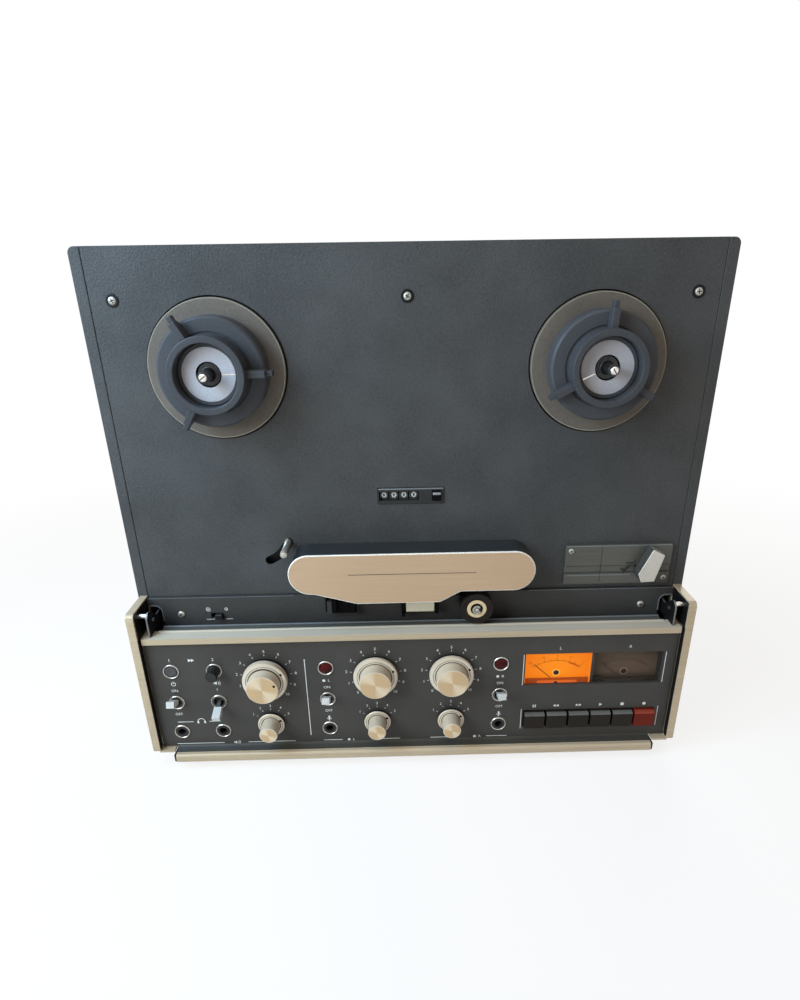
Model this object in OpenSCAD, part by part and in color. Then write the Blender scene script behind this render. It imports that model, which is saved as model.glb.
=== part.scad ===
// Upright reel-to-reel tape recorder: two reel drives above a covered head block,
// and a control box with knobs, switches, meters and transport keys below.
// Each module is drawn as seen from the front: x to the right, y up, z out toward
// the viewer, with z = 0 on the face of the deck plate and y = 0 on the floor.

/* [Cabinet] */
// Width over the side walls
cabinet_w = 456; // [452:1:474]
// Height above the feet
cabinet_h = 404; // [400:1:422]
// Depth behind the deck face
cabinet_depth = 150; // [144:1:170]
// Thickness of the top and the floor
wall = 6.5; // [5:0.5:8]
// Thickness of the side walls
side_wall = 8.5; // [7:0.5:10]
// Distance of the ends of the control box inside the sides of the cabinet
box_inset = 2; // [0:0.5:4]
// Radius of the long outer edges
corner_r = 4.5; // [2:0.5:6]
// Height of the feet
foot_h = 12; // [8:0.5:16]
// Radius of the feet
foot_r = 13; // [9:0.5:18]

/* [Deck] */
// Thickness of the deck plate
deck_thick = 2.5; // [2:0.25:3.5]
// Height of the lower edge of the deck plate above the floor
deck_edge = 151.5; // [150:0.5:154]
// Room between deck plate and chassis
chassis_space = 5.5; // [5:0.25:8]
// Thickness of the chassis plate
chassis_thick = 4; // [3:0.5:6]
// Distance of the outer deck screws from the sides of the cabinet
deck_screw_inset = 24.3; // [20:0.1:32]
// Distance of the deck screws below the top of the cabinet
deck_screw_drop = 34.4; // [26:0.1:40]

/* [Reel drives] */
// Distance between the two reel axes
reel_spacing = 275; // [268:1:284]
// Distance of the reel axes below the top of the cabinet
reel_drop = 82; // [74:1:88]
// Radius of the turntables
turntable_r = 49.2; // [44:0.2:54]
// Height of the turntables above the deck
turntable_h = 2.5; // [1.5:0.25:4]
// Radius of the hub adapters
adapter_r = 38; // [36:0.5:40]
// Height of the adapter body above the deck
adapter_h = 18; // [14:0.5:20]
// Height of the pale adapter face above the deck
adapter_face_h = 24; // [22:0.5:28]
// Radius of the adapter post inside the lock ring
adapter_post_r = 21.3; // [19:0.1:22.5]
// Width of the wall of the lock ring
lock_wall = 4.9; // [3:0.1:6]
// Height of the lock ring above the deck
lock_h = 33; // [30:0.5:36]
// Reach of the lock wings from the axis
wing_r = 44; // [41:0.5:47]
// Width of the lock wings
wing_w = 5; // [3.5:0.25:7]
// Turn of the supply lock wings
supply_wing_turn = 0; // [-30:1:30]
// Turn of the take-up lock wings
takeup_wing_turn = 88; // [60:1:110]
// Radius of the reel spindles
spindle_r = 8; // [7:0.1:8.6]
// Height of the spindle tips above the deck
spindle_tip = 40; // [34:0.5:44]
// Radius of the motor shafts
shaft_r = 4; // [3:0.25:5]
// Radius of the reel motors
reel_motor_r = 42; // [36:1:50]
// Length of the reel motors
reel_motor_len = 60; // [45:1:75]

/* [Head block] */
// Width of the head cover
cover_w = 194; // [188:1:200]
// Height of the straight part of the head cover
cover_h = 33.8; // [32:0.2:36]
// Height of the middle of the cover above the floor
cover_z = 180.5; // [179:0.5:184]
// Height of the cover above the deck
cover_out = 26.6; // [26.6:0.2:30]
// Thickness of the metal front plate of the cover
cover_plate = 2; // [1.5:0.25:2.5]
// Wall of the cover shell
shell_wall = 2; // [1.5:0.25:2.5]
// Drop of the lower tab of the cover
tab_drop = 9.2; // [7:0.2:10]
// Radius of the pinch roller
roller_r = 13.5; // [12:0.25:14.5]
// Length of the pinch roller
roller_len = 12; // [10:0.5:13]
// Pinch roller axis, distance from the middle
roller_x = 52.3; // [49:0.1:56]
// Pinch roller axis, height above the floor
roller_z = 144.6; // [144:0.1:147]
// Swing of the pinch arm up to the capstan
pinch_swing = 11; // [10:0.5:13]
// Radius of the capstan
capstan_r = 3.5; // [2.5:0.25:4.5]
// Radius of the capstan motor
capstan_motor_r = 36; // [30:1:42]
// Length of the capstan motor
capstan_motor_len = 56; // [45:1:70]
// Width of one tape head
head_w = 15; // [12:0.5:18]
// Spacing of the tape heads
head_pitch = 32; // [28:1:34]

/* [Tension arm] */
// Pivot of the tension arm, distance left of the middle
tension_x = 125.8; // [123:0.2:129]
// Pivot of the tension arm, height above the floor
tension_z = 209.3; // [207:0.2:213]
// Length of the tension arm
tension_r = 29.2; // [27:0.2:32]
// Angle of the arm below the level at rest
tension_rest = 23; // [15:1:30]
// Swing of the arm
tension_swing = 45; // [25:1:50]
// Radius of the tension post
post_r = 2.6; // [2:0.1:3.2]
// Length of the tension post above the deck
post_len = 25; // [20:0.5:30]

/* [Counter] */
// Width of the counter bezel
counter_w = 51.7; // [50:0.1:56]
// Height of the counter bezel
counter_h = 13; // [12:0.1:16]
// Height of the counter axis
counter_z = 235.5; // [232:0.5:240]
// Radius of the digit wheels
digit_r = 8.6; // [8:0.1:9.4]
// Spacing of the digit wheels
digit_pitch = 7.8; // [7.2:0.1:8]
// Size of the reset button
reset_w = 6.8; // [5:0.2:8]

/* [Splicer] */
// Width of the splicer block
splicer_w = 87.5; // [84:0.5:90]
// Height of the splicer block
splicer_h = 35; // [34:0.5:38]
// Thickness of the splicer block
splicer_thick = 3; // [2.5:0.25:4]
// Distance of the splicer block from the side of the cabinet
splicer_inset = 14.55; // [13:0.05:18]
// Height of the middle of the splicer block
splicer_z = 173.5; // [171.5:0.5:178]
// Length of the lever
lever_len = 24; // [18:0.5:28]
// Width of the lever
lever_w = 12.4; // [10:0.2:14]
// Lean of the lever to the right
lever_lean = 20; // [10:1:30]

/* [Control box] */
// Distance of the panel face in front of the deck face
panel_proud = 28; // [26:0.5:32]
// Thickness of the panel
panel_thick = 3; // [2:0.25:4]
// Height of the lower edge of the panel
panel_base = 19; // [18.8:0.1:22]
// Height of the shelf on the top rail
shelf_z = 128.8; // [127:0.1:129.6]
// Depth of the shelf
shelf_depth = 13; // [10:0.5:16]
// Height of the front lip of the top rail
lip_h = 5.4; // [4:0.1:7]
// Thickness of the cheeks
cheek_thick = 6; // [4:0.25:7]
// Reach of the cheeks in front of the deck face
cheek_proud = 34; // [32:0.5:38]
// Distance of the ends of the bottom nose from the sides of the cabinet
nose_inset = 22; // [21:0.5:28]
// Reach of the nose in front of the panel
nose_proud = 10; // [8:0.5:14]
// Height of the nose
nose_h = 8.4; // [6:0.2:9]

/* [Panel layout] */
// Column of power switch and first phones socket, left of the middle
power_column = 200.5; // [198:0.5:203]
// Column of monitor switch and second phones socket, left of the middle
monitor_column = 165; // [162:0.5:168]
// Column of volume and mode knobs, left of the middle
volume_column = 122.5; // [119:0.5:126]
// Columns of record switches and microphone sockets, either side of the middle
record_column = 73; // [70:0.5:75]
// Columns of record level knobs, either side of the middle
level_column = 31.5; // [29:0.5:34]
// Middle of meters and keys, right of the middle
meter_column = 151; // [149:0.5:153]
// Row of speed buttons and lamps
row_top = 96; // [94:0.5:98]
// Row of toggles
row_toggle = 65; // [62:0.5:68]
// Row of sockets
row_socket = 34.5; // [33:0.5:37]
// Row of large knobs
row_knob = 89; // [86:0.5:92]
// Row of selector knobs
row_select = 42; // [40:0.5:47]
// Row of transport keys
row_key = 39.2; // [38:0.2:42]

/* [Controls] */
// Radius of the ring nuts round switches, sockets and lamps
ring_r = 6.6; // [6.4:0.1:7.4]
// Height of the ring nuts
ring_h = 0.8; // [0.5:0.1:1.2]
// Radius of the speed buttons
speed_r = 4.8; // [4:0.1:4.9]
// Travel of the speed buttons
speed_travel = 10; // [6:0.5:10]
// Tilt of the toggle levers from the middle
toggle_tilt = 24; // [15:1:25]
// Length of the toggle levers
toggle_len = 19.5; // [17:0.5:22]
// Width of the toggle caps
toggle_w = 6.4; // [5.6:0.2:8]
// Radius of the socket bores for a quarter-inch plug
plug_r = 3.25; // [3.2:0.01:3.3]
// Radius of the skirts of the large knobs
skirt_r = 18.5; // [16:0.25:20]
// Radius of the faces of the large knobs
face_r = 13; // [11:0.25:14.5]
// Height of the volume knob
volume_h = 20; // [18.5:0.5:24]
// Height of the balance ring
balance_h = 9.5; // [8:0.5:11]
// Height of the record level knobs
level_h = 17; // [14:0.5:20]
// Height of the skirts of the record level knobs
level_skirt_h = 6.5; // [6:0.5:10]
// Radius of the skirts of the selector knobs
select_skirt_r = 11.3; // [9.5:0.1:12.5]
// Radius of the faces of the selector knobs
select_face_r = 7.5; // [6:0.1:8.5]
// Height of the selector knobs
select_h = 18; // [16:0.5:20]
// Height of the skirts of the selector knobs
select_skirt_h = 4.5; // [4:0.25:7]
// Radius of the knob shafts
knob_shaft_r = 3; // [2.5:0.1:3.1]
// Width of the meter window
meter_w = 116; // [112:0.5:118]
// Height of the meter window
meter_h = 31; // [28:0.5:34]
// Spacing of the transport keys
key_pitch = 19; // [18.5:0.1:19.3]
// Width of a transport key
key_w = 17.2; // [15:0.1:17.8]
// Height of a transport key
key_h = 15.6; // [14:0.1:17]
// Reach of the transport keys in front of the panel
key_proud = 5.2; // [4.5:0.1:7]
// Travel of the transport keys
key_travel = 3; // [2:0.25:4]

/* [Rear] */
// Radius of the line socket barrels
line_r = 4.15; // [4.1:0.01:4.2]
// Reach of the line sockets behind the cabinet
line_len = 9; // [8:0.5:12]
// Spacing of the line sockets
line_pitch = 20; // [16:0.5:24]

// Distance of the mains transformer in front of the cabinet back
transformer_gap = 24; // [20:1:40]
// Distance of the middle of the vents below the top of the cabinet
vent_drop = 114; // [90:1:130]

/* [Fits] */
// Gap between parts that must not touch
fit_gap = 0.3; // [0.3:0.05:0.5]
// Radial gap of a running shaft
run_gap = 0.05; // [0.03:0.01:0.08]
// Radial gap of a screw or a bush in its hole
bush_gap = 0.1; // [0.08:0.01:0.2]

/* [Hidden] */
$fn = 48;
half_w = cabinet_w / 2 - box_inset;
inner_w = cabinet_w - 2 * side_wall;
bay_w = 2 * half_w - 2 * cheek_thick;
top_z = foot_h + cabinet_h;
floor_z = foot_h + wall;
wide = half_w / 226;
col_power = power_column * wide;
col_monitor = monitor_column * wide;
col_volume = volume_column * wide;
col_record = record_column * wide;
col_level = level_column * wide;
col_meter = meter_column * wide;
deck_screw_x = cabinet_w / 2 - deck_screw_inset;
deck_screw_z = top_z - deck_screw_drop;
reel_z = top_z - reel_drop;
splicer_x = cabinet_w / 2 - splicer_inset - splicer_w / 2;
nose_w = cabinet_w - 2 * nose_inset;
front_reach = panel_proud + volume_h;
deck_y = (front_reach - cabinet_depth - line_len) / 2;
deck_w = inner_w - 2 * fit_gap;
trim_w = min(inner_w, bay_w) - 2 * fit_gap;
chassis_front = -deck_thick - chassis_space;
chassis_back = chassis_front - chassis_thick;
reel_x = reel_spacing / 2 * wide;
turntable_gap = 1.1;
drum_r = 36;
drum_back = chassis_front + 0.8;
lock_base = adapter_h + fit_gap;
lock_in_r = adapter_post_r + fit_gap;
lock_out_r = lock_in_r + lock_wall;
pivot_r = 3;
screw_r = 1.8;
screw_head_r = 3.6;
screw_head_h = 1.3;
pinch_pivot_x = roller_x - 25.3;
pinch_pivot_z = roller_z + 5.4;
pinch_reach = norm([25.3, 5.4]);
pinch_angle = pinch_swing - atan2(5.4, 25.3);
capstan_x = pinch_pivot_x + pinch_reach * cos(pinch_angle);
capstan_z = pinch_pivot_z + pinch_reach * sin(pinch_angle) + roller_r + capstan_r + fit_gap + 0.05;
trim_face = 3;
trim_base = shelf_z - 9.3;
trim_top = deck_edge - fit_gap;
trim_screw_x = half_w - 32.6;
trim_screw_z = 135.8;
pocket_w = 10.4;
pocket_top = 143.8;
arm_back = trim_face + fit_gap + 1.5;
arm_thick = 4;
roller_back = arm_back + arm_thick + 0.6;
axle_r = 2;
head_base_h = 3;
head_face_z = capstan_z - 1.5;
plate_back = cover_out - cover_plate;
web = 1.6;
cover_gap = 0.4;
counter_x = 0.4;
digit_x = -20.7;
digit_w = digit_pitch - 0.8;
digit_axis = -10.4;
reset_x = 20.6;
lever_x = splicer_x + 20.8;
lever_z = splicer_z - 7;
panel_face = panel_proud;
panel_back = panel_proud - panel_thick;
rail_thick = 2;
lip_face = panel_face + 3;
shelf_back = lip_face - shelf_depth;
panel_top = shelf_z - rail_thick - fit_gap;
rail_w = bay_w - 3;
panel_w = bay_w - 2 * fit_gap - 1.8;
cheek_base = 16.5;
cheek_top = deck_edge + 1;
hinge_x = half_w - cheek_thick - 7;
hinge_thick = 1.5;
toggle_bore_r = 4.3;
toggle_bush_r = 5;
speed_bore_r = speed_r + bush_gap;
speed_bush_r = speed_bore_r + 0.6;
socket_r = 5.2;
pot_r = 11;
pot_bush_r = 4.4;
tube_r = knob_shaft_r + 1.1;
toggle_pivot = panel_face - 3.5;
knob_gap = 1;
meter_pitch = meter_w / 2;
meter_floor = panel_back - 5;
meter_drop = 5;
needle_rest = 47;
needle_len = 27;
meter_base = row_knob - meter_h / 2;
key_row_w = 5 * key_pitch + key_w;
key_stem_r = 2;
slider_x = -(half_w - 64.3);
slider_z = 133.8;
slider_travel = 4;
line_row = 70;
line_col = 150;
inlet_x = -150;
inlet_z = 70;
back_thick = 3;
back_face = -cabinet_depth;

// Turns the front view upright and centres it over the floor
module placed() {
    translate([0, deck_y, 0]) rotate([90, 0, 0]) children();
}

// Rectangle with round corners about the origin
module rounded(w, h, r) {
    square([w - 2 * r, h], center = true);
    square([w, h - 2 * r], center = true);
    for (sx = [-1, 1], sy = [-1, 1])
        translate([sx * (w / 2 - r), sy * (h / 2 - r)]) circle(r);
}

// Section drawn as up and out, run along x about the middle
module along_x(len) {
    rotate([90, 0, 90]) linear_extrude(len, center = true) children();
}

// Tube along z from one level to another
module tube(r_out, r_in, low, high) {
    translate([0, 0, low]) difference() {
        cylinder(r = r_out, h = high - low);
        translate([0, 0, -1]) cylinder(r = r_in, h = high - low + 2);
    }
}

// Rod along z from one level to another
module rod(r, low, high) {
    translate([0, 0, low]) cylinder(r = r, h = high - low);
}

// Places of the panel fittings
module at_toggles() {
    for (x = [-col_power, -col_monitor, -col_record, col_record]) translate([x, row_toggle]) children();
}

module at_speeds() {
    for (x = [-col_power, -col_monitor]) translate([x, row_top]) children();
}

module at_jacks() {
    for (x = [-col_power, -col_monitor, -col_record, col_record]) translate([x, row_socket]) children();
}

module at_lamps() {
    for (x = [-col_record, col_record]) translate([x, row_top]) children();
}

module at_single_pots() {
    for (x = [-col_level, col_level]) translate([x, row_knob]) children();
    for (x = [-col_volume, -col_level, col_level]) translate([x, row_select]) children();
}

module at_deck_screws() {
    for (x = [-deck_screw_x, 0, deck_screw_x]) translate([x, deck_screw_z]) children();
}

module at_trim_screws() {
    for (x = [-trim_screw_x, trim_screw_x]) translate([x, trim_screw_z]) children();
}

module at_splicer_screws() {
    translate([splicer_x - splicer_w / 2 + 4.6, splicer_z + splicer_h / 2 - 5]) children();
    translate([splicer_x + splicer_w / 2 - 4.6, splicer_z - splicer_h / 2 + 4.8]) children();
}

module at_lines() {
    for (i = [0:1], j = [0:1]) translate([line_col + i * line_pitch, line_row + j * line_pitch]) children();
}

module at_back_screws() {
    for (x = [-1, 0, 1], z = [floor_z + 12, top_z - wall - 12])
        translate([x * (inner_w / 2 - 14), z]) children();
}

// Shell of four walls, open in front and behind; the deck plate covers its top edge
module cabinet() {
    color("#4b525b") difference() {
        translate([0, foot_h + cabinet_h / 2, -cabinet_depth])
            linear_extrude(cabinet_depth) rounded(cabinet_w, cabinet_h, corner_r);
        translate([-inner_w / 2, floor_z, -cabinet_depth - 1])
            cube([inner_w, cabinet_h - 2 * wall, cabinet_depth + 2]);
        translate([-inner_w / 2, top_z - wall - 1, -deck_thick])
            cube([inner_w, wall + 2, deck_thick + 1]);
    }
}

// Rear closing plate with holes for its sockets and vent slots
module back_panel() {
    color("#33373b") translate([0, 0, back_face]) linear_extrude(back_thick) difference() {
        translate([-deck_w / 2, floor_z + fit_gap])
            square([deck_w, cabinet_h - 2 * wall - 2 * fit_gap]);
        at_lines() circle(line_r - 1 + bush_gap);
        translate([inlet_x, inlet_z]) square([28, 20], center = true);
        for (i = [-5:5]) translate([i * 14, top_z - vent_drop]) rounded(5, 60, 2.4);
        at_back_screws() circle(screw_r + bush_gap);
    }
}

// Carrier of motors, heads and deck plate, with bosses for the deck screws
module chassis() {
    color("#6d7276") difference() {
        union() {
            translate([0, 0, chassis_back]) linear_extrude(chassis_thick)
                translate([-deck_w / 2, floor_z + fit_gap])
                    square([deck_w, cabinet_h - 2 * wall - 2 * fit_gap]);
            at_deck_screws() rod(5, chassis_back + 1, -deck_thick);
            at_trim_screws() rod(5, chassis_back + 1, -deck_thick);
        }
        for (side = [-1, 1])
            translate([side * reel_x, reel_z]) rod(shaft_r + 4, chassis_back - 1, chassis_front + 1);
        translate([capstan_x, capstan_z]) rod(capstan_r + 2, chassis_back - 1, chassis_front + 1);
        translate([-tension_x, tension_z]) rod(pivot_r + run_gap, chassis_back - 1, chassis_front + 1);
        translate([pinch_pivot_x, pinch_pivot_z]) rod(pivot_r + run_gap, chassis_back - 1, chassis_front + 1);
        translate([counter_x, counter_z, chassis_back - 1])
            linear_extrude(chassis_thick + 2) square([counter_w + 8, 2 * digit_r + 9], center = true);
        at_deck_screws() rod(screw_r + bush_gap, chassis_back - 1, 1);
        at_trim_screws() rod(screw_r + bush_gap, chassis_back - 1, 1);
    }
}

// Curved slot of the tension post
module tension_slot() {
    half = post_r + 1.4;
    start = -tension_rest;
    middle = -tension_rest - tension_swing / 2;
    stop = -tension_rest - tension_swing;
    intersection() {
        difference() {
            circle(tension_r + half - 0.2);
            circle(tension_r - half + 0.2);
        }
        polygon([[0, 0], 60 * [cos(start), sin(start)], 60 * [cos(middle), sin(middle)],
            60 * [cos(stop), sin(stop)]]);
    }
    for (a = [start, stop]) rotate(a) translate([tension_r, 0]) circle(half);
}

// Upper face plate of the deck
module deck_plate() {
    color("#565d66") translate([0, 0, -deck_thick]) linear_extrude(deck_thick) difference() {
        translate([-deck_w / 2, deck_edge]) square([deck_w, top_z - deck_edge]);
        for (side = [-1, 1]) translate([side * reel_x, reel_z]) circle(turntable_r + turntable_gap);
        translate([counter_x, counter_z])
            square([counter_w + 2 * fit_gap, counter_h + 2 * fit_gap], center = true);
        translate([-tension_x, tension_z]) tension_slot();
        translate([capstan_x, capstan_z]) circle(capstan_r + 1.5);
        translate([pinch_pivot_x, pinch_pivot_z]) circle(pivot_r + 0.6);
        at_deck_screws() circle(screw_r + bush_gap);
        at_splicer_screws() circle(screw_r + bush_gap);
    }
}

// Dark strip under the deck plate with an arched pocket at each end
module head_trim() {
    color("#26282a") {
        translate([0, 0, -deck_thick]) linear_extrude(trim_face + deck_thick) difference() {
            translate([-trim_w / 2, trim_base]) square([trim_w, trim_top - trim_base]);
            for (side = [-1, 1]) {
                translate([side * trim_w / 2, trim_base])
                    square([2 * pocket_w - 10, 2 * (pocket_top - trim_base)], center = true);
                translate([side * trim_w / 2, trim_base])
                    square([2 * pocket_w, 2 * (pocket_top - trim_base) - 10], center = true);
                translate([side * (trim_w / 2 - pocket_w + 5), pocket_top - 5]) circle(5);
            }
            translate([pinch_pivot_x, pinch_pivot_z]) circle(pivot_r + 0.6);
            translate([slider_x - slider_travel / 2, slider_z]) square([10.4, 5.2], center = true);
            at_trim_screws() circle(screw_r + bush_gap);
        }
        translate([0, trim_base + 1.2, trim_face + 1])
            cube([trim_w - 2 * pocket_w, 2.4, 4], center = true);
        translate([-57.8, 141.3, trim_face + 2]) cube([25.6, 11.4, 5.6], center = true);
    }
}

// One side cheek of the control box
module cheek(side) {
    h = cheek_top - cheek_base;
    translate([side * (half_w - cheek_thick / 2), 0, 0]) along_x(cheek_thick) {
        translate([cheek_base + h / 2, cheek_proud / 2]) rounded(h, cheek_proud, 4);
        translate([cheek_base, 0]) square([h, cheek_proud / 2]);
    }
    translate([side * (half_w - cheek_thick - 5.5), cheek_base + 1, panel_face + 0.4])
        cube([13, 2, 10], center = true);
}

// Top rail: lip, shelf, web and floor of one extrusion
module top_rail() {
    low = trim_base - 1.5;
    front = panel_face + fit_gap;
    web_front = shelf_back + rail_thick;
    along_x(rail_w) polygon([[shelf_z, lip_face], [shelf_z - lip_h, lip_face], [shelf_z - lip_h, front],
        [shelf_z - rail_thick, front], [shelf_z - rail_thick, web_front],
        [low - rail_thick, web_front], [low - rail_thick, fit_gap], [low, fit_gap],
        [low, shelf_back], [shelf_z, shelf_back]]);
}

// Bottom rail: floor of the box, cove and round nose
module bottom_rail() {
    tip = panel_face + nose_proud;
    along_x(rail_w - 2) polygon([[panel_base - 0.5, fit_gap], [panel_base - 0.5, panel_back - 6],
        [panel_base - 2.5, panel_back - 6], [panel_base - 2.5, fit_gap]]);
    top = panel_base - 2.3;
    along_x(nose_w) {
        polygon([[panel_base - 0.5, panel_back - 7], [panel_base - 0.5, panel_face + 1.5],
            [panel_base - 1.5, panel_face + 3], [top, tip - 4],
            [top - nose_h, tip - 4], [top - nose_h, panel_back - 7]]);
        translate([top - nose_h / 2, tip - 4]) rounded(nose_h, 8, 2.6);
    }
}

// Aluminium frame of the control box: two cheeks, top rail, bottom rail
module panel_frame() {
    color("#c9c9c6") {
        cheek(-1);
        cheek(1);
        top_rail();
        bottom_rail();
    }
}

// Front plate of the control box with all its openings
module control_panel() {
    color("#3a3836") translate([0, 0, panel_back]) linear_extrude(panel_thick) difference() {
        translate([-panel_w / 2, panel_base]) square([panel_w, panel_top - panel_base]);
        at_toggles() circle(toggle_bush_r + bush_gap);
        at_speeds() circle(speed_bush_r + bush_gap);
        at_jacks() circle(socket_r + bush_gap);
        at_lamps() circle(socket_r + bush_gap);
        at_single_pots() circle(pot_bush_r + bush_gap);
        translate([-col_volume, row_knob]) circle(pot_bush_r + 1.2 + bush_gap);
        translate([col_meter, row_knob]) square([meter_w, meter_h], center = true);
        translate([col_meter, row_key]) square([key_row_w + 1.6, key_h + 1.6], center = true);
    }
}

// Steel plates beside the cheeks with the pins that take a dust hood
module hinge_hardware() {
    color("#b5b7b8") for (side = [-1, 1]) {
        translate([side * (hinge_x - hinge_thick / 2), 0, 0]) along_x(hinge_thick)
            polygon([[shelf_z, panel_face], [shelf_z + 17, panel_face],
                [shelf_z + 20.5, panel_face - 4], [shelf_z + 19.6, panel_face - 8],
                [pocket_top - 4, 9], [pocket_top - 4, chassis_front], [shelf_z, chassis_front]]);
        translate([side * (hinge_x + 3), shelf_z + 17.4, panel_face - 4.5]) rotate([0, 90, 0])
            cylinder(r = 1.9, h = 7.6, center = true);
    }
}

// Four round feet
module feet() {
    color("#1d1d1d") for (sx = [-1, 1], out = [-25, 25 - cabinet_depth])
        translate([sx * (half_w - 38), 0, out]) rotate([-90, 0, 0])
            cylinder(r1 = foot_r - 1.5, r2 = foot_r, h = foot_h);
}

// One screw with its head on the given level
module screw(level, len) {
    rod(screw_r, level - len, level + 0.5);
    rod(screw_head_r, level, level + screw_head_h);
}

// Screws of deck plate, strip, splicer and back panel
module screws() {
    color("#d2d2cf") {
        at_deck_screws() screw(0, deck_thick + chassis_space);
        at_trim_screws() screw(trim_face, trim_face + deck_thick + chassis_space);
        at_splicer_screws() screw(splicer_thick, splicer_thick + deck_thick);
        at_back_screws() translate([0, 0, back_face]) rotate([180, 0, 0]) screw(0, back_thick);
    }
}

// Two reel motors and the capstan motor on the back of the chassis
module motors() {
    color("#8d9092") {
        for (side = [-1, 1]) translate([side * reel_x, reel_z])
            tube(reel_motor_r, shaft_r + run_gap, chassis_back - reel_motor_len, chassis_back);
        translate([capstan_x, capstan_z])
            tube(capstan_motor_r, capstan_r + run_gap, chassis_back - capstan_motor_len, chassis_back);
    }
}

// Mains transformer and two circuit boards standing on the cabinet floor
module electronics() {
    color("#4d6b4a") {
        translate([24.5 - inner_w / 2, floor_z, back_face + transformer_gap]) cube([84, 76, 66]);
        for (out = [-62, -100]) translate([-70, floor_z, out]) cube([260, 96, 1.6]);
    }
}

// Cast base of the heads with guide posts and cover posts
module head_block() {
    color("#8f9294") difference() {
        union() {
            translate([0, cover_z + 1, 0]) linear_extrude(head_base_h)
                square([160, cover_h - 9], center = true);
            for (x = [-72, 74]) translate([x, head_face_z + 4]) rod(3.5, 0.5, 20);
            for (x = [-66, 66]) translate([x, cover_z + 8]) rod(3, 1, plate_back - web - fit_gap);
        }
        translate([capstan_x, capstan_z]) rod(capstan_r + 2.5, -1, head_base_h + 1);
    }
}

// Erase, record and playback heads, faces down toward the tape
module tape_heads() {
    color("#b8b2a4") for (i = [-1:1])
        translate([i * head_pitch - 12 - head_w / 2, head_face_z, head_base_h]) cube([head_w, 20, 14]);
}

// Bezel and housing of the tape counter with the axle of its wheels
module counter_frame() {
    color("#1b1c1d") translate([counter_x, counter_z, 0]) {
        difference() {
            union() {
                translate([0, 0, -deck_thick - 1]) linear_extrude(deck_thick + 1.7)
                    rounded(counter_w, counter_h, 1);
                translate([-counter_w / 2 - 2, -digit_r - 2.5, digit_axis - digit_r - 3])
                    cube([counter_w + 4, 2 * digit_r + 5, digit_r + 3 - digit_axis - deck_thick]);
            }
            translate([digit_x - counter_x - digit_pitch / 2, -3.8, -6]) cube([4 * digit_pitch, 7.6, 10]);
            translate([digit_x - counter_x - digit_pitch / 2, -digit_r - 0.6, digit_axis - digit_r - 0.6])
                cube([4 * digit_pitch, 2 * digit_r + 1.2, digit_r + 0.6 - digit_axis - deck_thick]);
            translate([reset_x - counter_x, 0, -20]) cube([reset_w + 0.6, reset_w + 1.8, 60], center = true);
        }
        translate([digit_x - counter_x - digit_pitch / 2 - 0.5, 0, digit_axis]) rotate([0, 90, 0])
            cylinder(r = 1.4, h = 4 * digit_pitch + 1);
    }
}

// One digit wheel
module digit_wheel(i) {
    translate([digit_x + i * digit_pitch, counter_z, digit_axis]) rotate([0, 90, 0]) difference() {
        cylinder(r = digit_r, h = digit_w, center = true);
        cylinder(r = 1.4 + run_gap, h = digit_w + 2, center = true);
    }
}

module units_wheel() {
    color("#e6e3da") digit_wheel(3);
}

module upper_wheels() {
    color("#e6e3da") for (i = [0:2]) digit_wheel(i);
}

module reset_button() {
    color("#151515") translate([reset_x, counter_z, -4]) cube([reset_w, reset_w + 1.2, 13.6], center = true);
}

// Grooved splicing block with the pivot of its lever
module splicer_block() {
    color("#585b5d") {
        difference() {
            translate([splicer_x, splicer_z, 0]) linear_extrude(splicer_thick)
                rounded(splicer_w, splicer_h, 1.5);
            translate([splicer_x, splicer_z - 4.4, splicer_thick])
                cube([splicer_w + 2, 6.4, 2], center = true);
            at_splicer_screws() rod(screw_r + bush_gap, -1, splicer_thick + 1);
        }
        translate([lever_x, lever_z]) rod(pivot_r, splicer_thick - 2, splicer_thick + 7.5);
    }
}

// Lever of the splicer on its pivot
module splicer_lever() {
    low = splicer_thick + fit_gap + 0.1;
    color("#cfccc4") translate([lever_x, lever_z]) difference() {
        union() {
            rod(lever_w / 2, low, low + 10.6);
            rotate(-lever_lean) translate([-lever_w / 2, 0, low + 4]) cube([lever_w, lever_len, 6.6]);
        }
        rod(pivot_r + run_gap, low - 1, low + 8);
    }
}

// Housings of the two level meters with dial floor, needle pin and lower mask
module meter_cases() {
    color("#22201e") for (side = [-1, 1]) translate([col_meter + side * meter_pitch / 2, 0, 0]) difference() {
        union() {
            translate([-meter_pitch / 2 + 0.1, meter_base - meter_drop - 2, panel_back - 18])
                cube([meter_pitch - 0.2, meter_h + meter_drop + 4, 18]);
        }
        difference() {
            translate([-meter_pitch / 2 + 1.2, meter_base - meter_drop, meter_floor])
                cube([meter_pitch - 2.4, meter_h + meter_drop, 30]);
            translate([0, meter_base - 2]) rod(0.8, meter_floor - 1, meter_floor + 2.4);
            translate([-17, meter_base - meter_drop - 1, meter_floor + 2.8]) cube([34, 7, 1.6]);
        }
    }
}

// Clear window over both meters
module meter_window() {
    color([0.9, 0.9, 0.85, 0.25]) translate([col_meter, row_knob, panel_back + 0.6])
        linear_extrude(1.6) square([meter_w - 0.4, meter_h - 0.4], center = true);
}

// One meter needle about its pin
module needle(side) {
    x = col_meter + side * meter_pitch / 2;
    color("#171310") translate([x, meter_base - 2, meter_floor + fit_gap]) difference() {
        union() {
            cylinder(r = 2.2, h = 1.9);
            rotate(needle_rest) translate([-0.4, 0, 0.6]) cube([0.8, needle_len, 0.6]);
        }
        translate([0, 0, -1]) cylinder(r = 0.8 + bush_gap, h = 6);
    }
}

module needle_left() {
    needle(-1);
}

module needle_right() {
    needle(1);
}

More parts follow.
